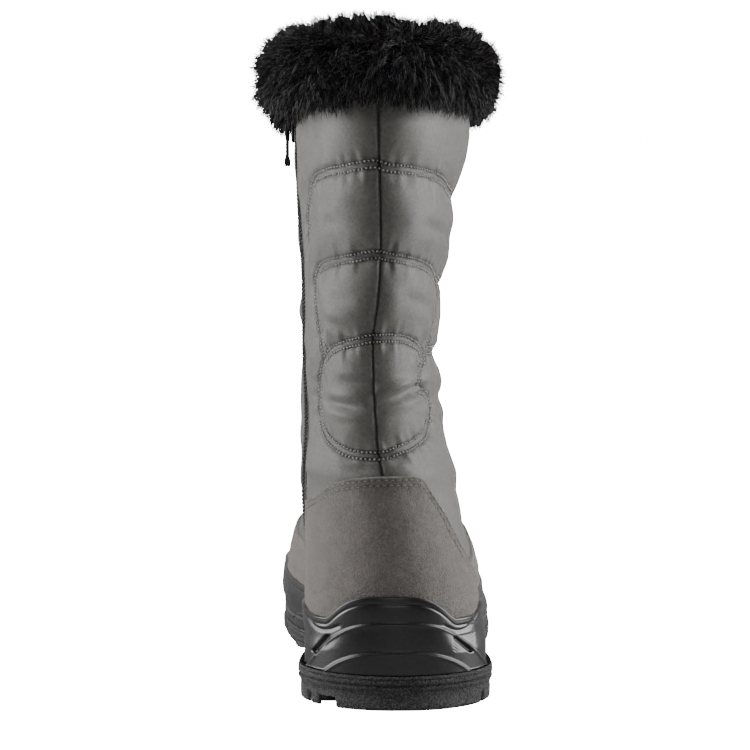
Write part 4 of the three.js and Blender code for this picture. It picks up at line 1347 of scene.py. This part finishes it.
TAPE_ROWS = 220
TAPE_COLUMNS = 27
tape_up = np.linspace(ZIP_BOTTOM - 1, ZIP_TOP - 1, TAPE_ROWS)
tape_columns = np.linspace(-TAPE_WIDTH / 2, TAPE_WIDTH / 2, TAPE_COLUMNS)
tape_front, tape_back = [], []
for aside in tape_columns:
    bulge = 0.95 * (1 - smoothstep(abs(aside), 1.2, TAPE_WIDTH / 2)) + 0.12
    row, out, _, _ = zip_point(tape_up, np.full(TAPE_ROWS, aside), bulge)
    tape_front.append(row)
    tape_back.append(row - out * (bulge + 0.3))
tape_points = np.concatenate([np.stack(tape_front), np.stack(tape_back)[::-1]])
tape_piece = make_piece("zip_tape", tape_points, flat_tube(TAPE_COLUMNS, TAPE_ROWS), tape)
tape_across = np.concatenate([tape_columns, tape_columns[::-1]])[:, None]
lay_cloth(tape_piece, np.broadcast_to(tape_across, tape_points.shape[:2]), tape_points[..., 2])


BEAD_RINGS = 6


def bead(centre, a, b, c, steps=8):
    """A rounded tooth: an egg on three half axes."""
    points = []
    for tilt in np.linspace(-math.pi / 2, math.pi / 2, BEAD_RINGS):
        for turn in full_turn(steps):
            level = a * math.cos(turn) + b * math.sin(turn)
            points.append(math.cos(tilt) * level + math.sin(tilt) * c)
    return np.array(points) + centre, grid_faces(BEAD_RINGS, steps, True)


tooth_up = np.arange(ZIP_BOTTOM, ZIP_TOP - 2, COIL_PITCH)
cord_up = np.arange(ZIP_BOTTOM, ZIP_TOP - 2, 1.8)
coil_parts = []
for height, aside, lift, sizes, steps in (
    (tooth_up - 0.25 * COIL_PITCH, -0.95, 1.1, (1.45, 0.6, 1.05), 8),
    (tooth_up + 0.25 * COIL_PITCH, 0.95, 1.1, (1.45, 0.6, 1.05), 8),
    (cord_up, -2.45, 0.95, (0.4, 0.8, 0.4), 6),
    (cord_up, 2.45, 0.95, (0.4, 0.8, 0.4), 6),
):
    centre, out, across, rise = zip_point(height, np.full(len(height), aside), lift)
    for i in range(len(height)):
        coil_parts.append(bead(centre[i], across[i] * sizes[0], rise[i] * sizes[1], out[i] * sizes[2], steps))
zip_coil = join_parts("zip_coil", coil_parts, coil)
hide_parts("zip_chain")

# Two rows of stitches down each side of the tape hold it to the nylon
row_angle, _ = zip_line(tape_up)
tape_stitches = []
for aside in ZIP_ROWS:
    for side in (-1, 1):
        row = np.stack([way_round(turn_of(row_angle)) + side * aside, tape_up], axis=1)
        tape_stitches.append(sew(row, on_nylon, STITCH_PITCH, STITCH_LENGTH, 0.36))
join_parts("zip_tape_stitches", tape_stitches, thread)

# Slider and pull
# Cast zinc, dipped dark grey. The slider's front plate has two ears that hold a pin, and the
# pull tab swings on it.
SLIDER_LENGTH = 10
SLIDER_WIDTH = 7
PLATE = 1.2
EAR = 1.1
EYE_WIDTH = 3.4
PIN_RADIUS = 0.6
PIN_PLAY = 0.3
PIN_AROUND = 24
EYE_RADIUS = PIN_RADIUS + PIN_PLAY + 0.7
PULL_WIDTH = 5.5
PULL_THICKNESS = 1.8

metal = grained("dark zip metal", 0.38, "29292b", "39393c", 0.02, 900, 120, "Patch")
metal.set(Metallic=0.7)
metal.vary(metal.marks["Speckle"], 0.3, 0.48)

slider_low, slider_high = (np.array(v) * 1000 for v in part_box("zip_slider"))
slider_middle = (slider_low + slider_high) / 2
plate_back = slider_high[0]
pin = slider_middle + [0, 0, 0.2 * SLIDER_LENGTH]
pin[0] = plate_back - PLATE - EYE_RADIUS - GAP


def loft(sections):
    """A closed solid through rings of equal count, capped by a fan at each end."""
    count = len(sections[0])
    ends = [np.mean(sections[k], axis=0)[None] for k in (0, -1)]
    points = np.concatenate([ends[0], np.concatenate(sections), ends[1]])
    faces = [grid_faces(len(sections), count, True, start=1)]
    j = np.arange(count)
    following = (j + 1) % count
    top = 1 + (len(sections) - 1) * count
    faces.append(np.stack([np.zeros(count, int), 1 + j, 1 + following, 1 + following], axis=1))
    faces.append(np.stack([np.full(count, len(points) - 1), top + following, top + j, top + j], axis=1))
    return points, facing_out(points, np.concatenate(faces))


def rounded(half_a, half_b, radius, count=6):
    """A rounded rectangle as pairs."""
    pairs = []
    for corner_a, corner_b, start in ((1, 1, 0), (-1, 1, 90), (-1, -1, 180), (1, -1, 270)):
        for turn in np.radians(np.linspace(start, start + 90, count)):
            pairs.append((corner_a * (half_a - radius) + radius * math.cos(turn),
                          corner_b * (half_b - radius) + radius * math.sin(turn)))
    return np.array(pairs)


def around_pin(radii, half_width, count=PIN_AROUND):
    """A ring or a pin round the Y axis through the pin's centre: radius and place along it."""
    turn = full_turn(count)
    sections = []
    for radius, place in radii:
        sections.append(np.column_stack([
            pin[0] + radius * np.cos(turn),
            np.full(count, pin[1] + place * half_width),
            pin[2] + radius * np.sin(turn),
        ]))
    return sections


plate_sections = []
for back, inset in ((0.0, 0.3), (0.25, 0.0), (0.85, 0.0), (PLATE, 0.35)):
    pairs = rounded(SLIDER_WIDTH / 2 - inset, SLIDER_LENGTH / 2 - inset, 1.6)
    wide = 1 + 0.06 * pairs[:, 1] / (SLIDER_LENGTH / 2)
    plate_sections.append(np.column_stack([
        np.full(len(pairs), plate_back - back),
        slider_middle[1] + pairs[:, 0] * wide,
        slider_middle[2] + pairs[:, 1],
    ]))
slider_parts = [loft(plate_sections)]
front = pin[0] - 1.4 * PIN_RADIUS
for side in (-1, 1):
    y = pin[1] + side * (EYE_WIDTH / 2 + GAP + EAR / 2)
    sections = []
    for place, inset in ((-1, 0.25), (-0.7, 0.0), (0.7, 0.0), (1, 0.25)):
        pairs = rounded((plate_back - 0.4 - front) / 2 - inset, 0.18 * SLIDER_LENGTH - inset, 0.8)
        sections.append(np.column_stack([
            (plate_back - 0.4 + front) / 2 + pairs[:, 0],
            np.full(len(pairs), y + place * EAR / 2),
            pin[2] + pairs[:, 1],
        ]))
    slider_parts.append(loft(sections))
pin_half = EYE_WIDTH / 2 + GAP + EAR / 2
pin_rows = [(0.4, -1), (PIN_RADIUS, -0.96), (PIN_RADIUS, 0.96), (0.4, 1)]
slider_parts.append(loft(around_pin(pin_rows, pin_half)))
slider = join_parts("slider_body", slider_parts, metal)
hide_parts("zip_slider")

eye_rows = around_pin(
    [(PIN_RADIUS + PIN_PLAY, -0.95), (EYE_RADIUS - 0.2, -1), (EYE_RADIUS, -0.9), (EYE_RADIUS, 0.9),
     (EYE_RADIUS - 0.2, 1), (PIN_RADIUS + PIN_PLAY, 0.95)],
    EYE_WIDTH / 2,
)
eye_points = np.concatenate(eye_rows)
eye_faces = facing_out(eye_points, grid_faces(len(eye_rows), PIN_AROUND, True, True))
thin = PULL_THICKNESS / 2
blade_sections = []
for down, half_x, half_y in (
    (1.1, 0.75, 1.55), (2.6, thin, EYE_WIDTH / 2), (3.6, thin, 1.9), (4.8, thin, PULL_WIDTH / 2),
    (6.0, 0.75, PULL_WIDTH / 2), (12.4, 0.75, PULL_WIDTH / 2), (13.6, thin, PULL_WIDTH / 2),
    (14.4, 1.3, 0.55 * PULL_WIDTH), (16.9, 1.35, 0.55 * PULL_WIDTH), (17.4, 1.1, 0.5 * PULL_WIDTH),
):
    pairs = rounded(half_x, half_y, 0.45)
    blade_sections.append(np.column_stack([pin[:2] + pairs, np.full(len(pairs), pin[2] - down)]))
pull = join_parts("pull_tab", [(eye_points, eye_faces), loft(blade_sections)], metal, "pull")
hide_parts("zip_pull")

# Fur cuff
# Black long-pile faux fur folded over the collar: a knitted backing, and clumps of tapered hair
# that stand out, hang over the lower edge and lean at random. It parts over the zip.
FUR_SLIT = 1.6
BACKING_DEPTH = 12.5
BACKING_ROWS = 34
BACKING_AROUND = 200
FUR_CLEAR = 1.5
FUR_TURN_IN = 10
CUFF = columns_of(
    "out up",
    [
        (0.00, 0.04),
        (0.42, 0.00),
        (0.80, 0.12),
        (1.00, 0.37),
        (0.98, 0.66),
        (0.72, 0.88),
        (0.30, 1.00),
        (-0.05, 1.00),
        (-0.42, 0.84),
    ],
)
HAIRS_IN_CLUMP = 17
HAIR_LENGTH = 9.8
HAIR_WIDTH = 0.36
# The lower edge is higher at the back and on the outer side, and the top dips right of the middle
BACK_LIFT = 3.5
OUTER_LIFT = 4.5
TOP_DIP = 3.4
TOP_DIP_TURN = 0.38
FULLER_INSIDE = 1.6

backing_finish = grained("fur backing", 0.95, "050505", "131212", 0.8, 900, 80)
hair_finish = grained("black fur", 0.6, "080808", "1c1b1b", 0.2, 350, 45, "Patch")
hair_finish.set(Sheen_Weight=0.3, Sheen_Roughness=0.5)


def cuff_point(angle, at, depth):
    """A point of the cuff: at counts the section's rows from the lower edge round to the inside."""
    out = along_table(CUFF["out"], at)
    rise = along_table(CUFF["up"], at)
    turn = turn_of(angle)
    lower_lift = BACK_LIFT * bell(turn, 0.9) + OUTER_LIFT * bell(turn - 1.5, 0.6)
    depth = depth + FULLER_INSIDE * (bell(turn + 1.4, 0.7) - bell(turn - 1.4, 0.7))
    dip = TOP_DIP * rise * bell(turn - TOP_DIP_TURN, 0.15)
    up = CUFF_BOTTOM + lower_lift * (1 - rise) + (0.10 + 0.71 * rise) * FUR_HEIGHT - dip
    reach_ = np.where(out > 0, FUR_CLEAR + out * (depth - FUR_CLEAR), FUR_CLEAR + out * FUR_TURN_IN)
    level = level_at(angle, np.minimum(up, COLLAR_HEIGHT - 0.5))
    point = off_last(angle, level, reach_)
    point[..., 2] = up
    return point


slit_angle = float(zip_angle(np.array(float(COLLAR))))
slit = FUR_SLIT / SHAFT_DEPTH
cuff_angle = np.linspace(slit_angle + slit, slit_angle + 2 * math.pi - slit, BACKING_AROUND)
cuff_at = np.linspace(0, len(CUFF["out"]) - 1, BACKING_ROWS)
cuff_grid_angle, cuff_grid_at = np.meshgrid(cuff_angle, cuff_at)
lumps = 1.1 * ripples(cuff_grid_angle * 40, cuff_grid_at * 6, 9, 90)
backing_points = cuff_point(cuff_grid_angle, cuff_grid_at, BACKING_DEPTH + lumps)
backing_faces = flat_tube(BACKING_ROWS // 2, BACKING_AROUND)
backing = make_piece("fur_backing", backing_points, backing_faces, backing_finish)
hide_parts("fur_cuff")

rng = np.random.default_rng(12)
CLUMPS = 3400
clump_angle = slit_angle + slit * 2 + rng.uniform(0, 1, CLUMPS) * (2 * math.pi - 4 * slit)
clump_at = 0.6 + 7.0 * rng.uniform(0, 1, CLUMPS) ** 0.92
ROOT_DEPTH = BACKING_DEPTH - 1.0
root = cuff_point(clump_angle, clump_at, ROOT_DEPTH)
step_round = [cuff_point(clump_angle + step, clump_at, ROOT_DEPTH) for step in (-0.03, 0.03)]
step_up = [cuff_point(clump_angle, clump_at + step, ROOT_DEPTH) for step in (-0.05, 0.05)]
outward = unit(np.cross(step_up[1] - step_up[0], step_round[1] - step_round[0]))
SHAFT_MIDDLE = (-8.0, 38.0, 0.0)
away = unit((root - SHAFT_MIDDLE) * [1, 1, 0])
flip = np.sum(outward * away, axis=1) + 0.3 * outward[:, 2] * np.where(clump_at > 4, 1, -0.5)
outward = outward * np.where(flip < 0, -1, 1)[:, None]
fall = 1 - smoothstep(clump_at, 1.0, 5.0)
lean = np.zeros((CLUMPS, 3))
lean[:, 2] = -0.25 - 0.95 * fall + 0.45 * smoothstep(clump_at, 4.5, 6.5)
swirls = [ripple(clump_angle * 30, cell, seed) for cell, seed in ((9, 100), (11, 101), (8, 102))]
swirl = 0.42 * np.stack(swirls, axis=1)
heading = unit(outward + lean + swirl + rng.normal(0, 0.2, (CLUMPS, 3)))
inner_trim = lerp(1.0, 0.8, smoothstep(clump_at, 5.5, 7.5))
reach_of_clump = HAIR_LENGTH * (0.75 + 0.5 * rng.uniform(0, 1, CLUMPS)) * inner_trim


def hair_mesh(chosen):
    """Tapered, curved ribbons of hair for some of the clumps."""
    n = len(chosen)
    base = np.repeat(root[chosen], HAIRS_IN_CLUMP, axis=0)
    head = np.repeat(heading[chosen], HAIRS_IN_CLUMP, axis=0)
    up = np.repeat(outward[chosen], HAIRS_IN_CLUMP, axis=0)
    size = np.repeat(reach_of_clump[chosen], HAIRS_IN_CLUMP)
    count_ = n * HAIRS_IN_CLUMP
    foot = base + rng.normal(0, 1.7, (count_, 3)) * [1, 1, 0.9]
    length = size * rng.uniform(0.62, 1.05, count_)
    tip = base + head * length[:, None] + rng.normal(0, 1.0, (count_, 3))
    tip[:, 2] -= 0.1 * length * rng.uniform(0, 1, count_)
    bow = foot + 0.5 * (tip - foot) + up * (0.18 * length)[:, None] + rng.normal(0, 0.5, (count_, 3))
    wide = unit(np.cross(tip - foot, rng.normal(0, 1, (count_, 3))))
    rows = []
    for t, size_ in ((0.0, 1.0), (0.36, 0.9), (0.7, 0.6)):
        place = (1 - t) ** 2 * foot + 2 * t * (1 - t) * bow + t * t * tip
        half = (0.5 * HAIR_WIDTH * size_ * rng.uniform(0.7, 1.4, count_))[:, None]
        rows += [place - wide * half, place + wide * half]
    rows.append(tip)
    points = np.stack(rows, axis=1).reshape(-1, 3)
    one = np.array([[0, 1, 3, 2], [2, 3, 5, 4], [4, 5, 6, 6]])
    faces = one[None] + 7 * np.arange(count_)[:, None, None]
    return points, faces.reshape(-1, 4)


# No hair grows low over the zip, where the pull tab swings up
PULL_CLEAR = 5
LOW_ROWS = 3.4
zip_gap = np.abs(way_round(turn_of(clump_angle)) - zip_ways[-1])
kept = np.argsort(clump_at)
kept = kept[(zip_gap[kept] > PULL_CLEAR) | (clump_at[kept] > LOW_ROWS)]
names = ("fur_hair_under", "fur_hair_middle", "fur_hair_over")
for name, band in zip(names, np.array_split(kept, len(names))):
    hair_points, hair_faces = hair_mesh(band)
    make_piece(name, hair_points, hair_faces, hair_finish, closed=False)
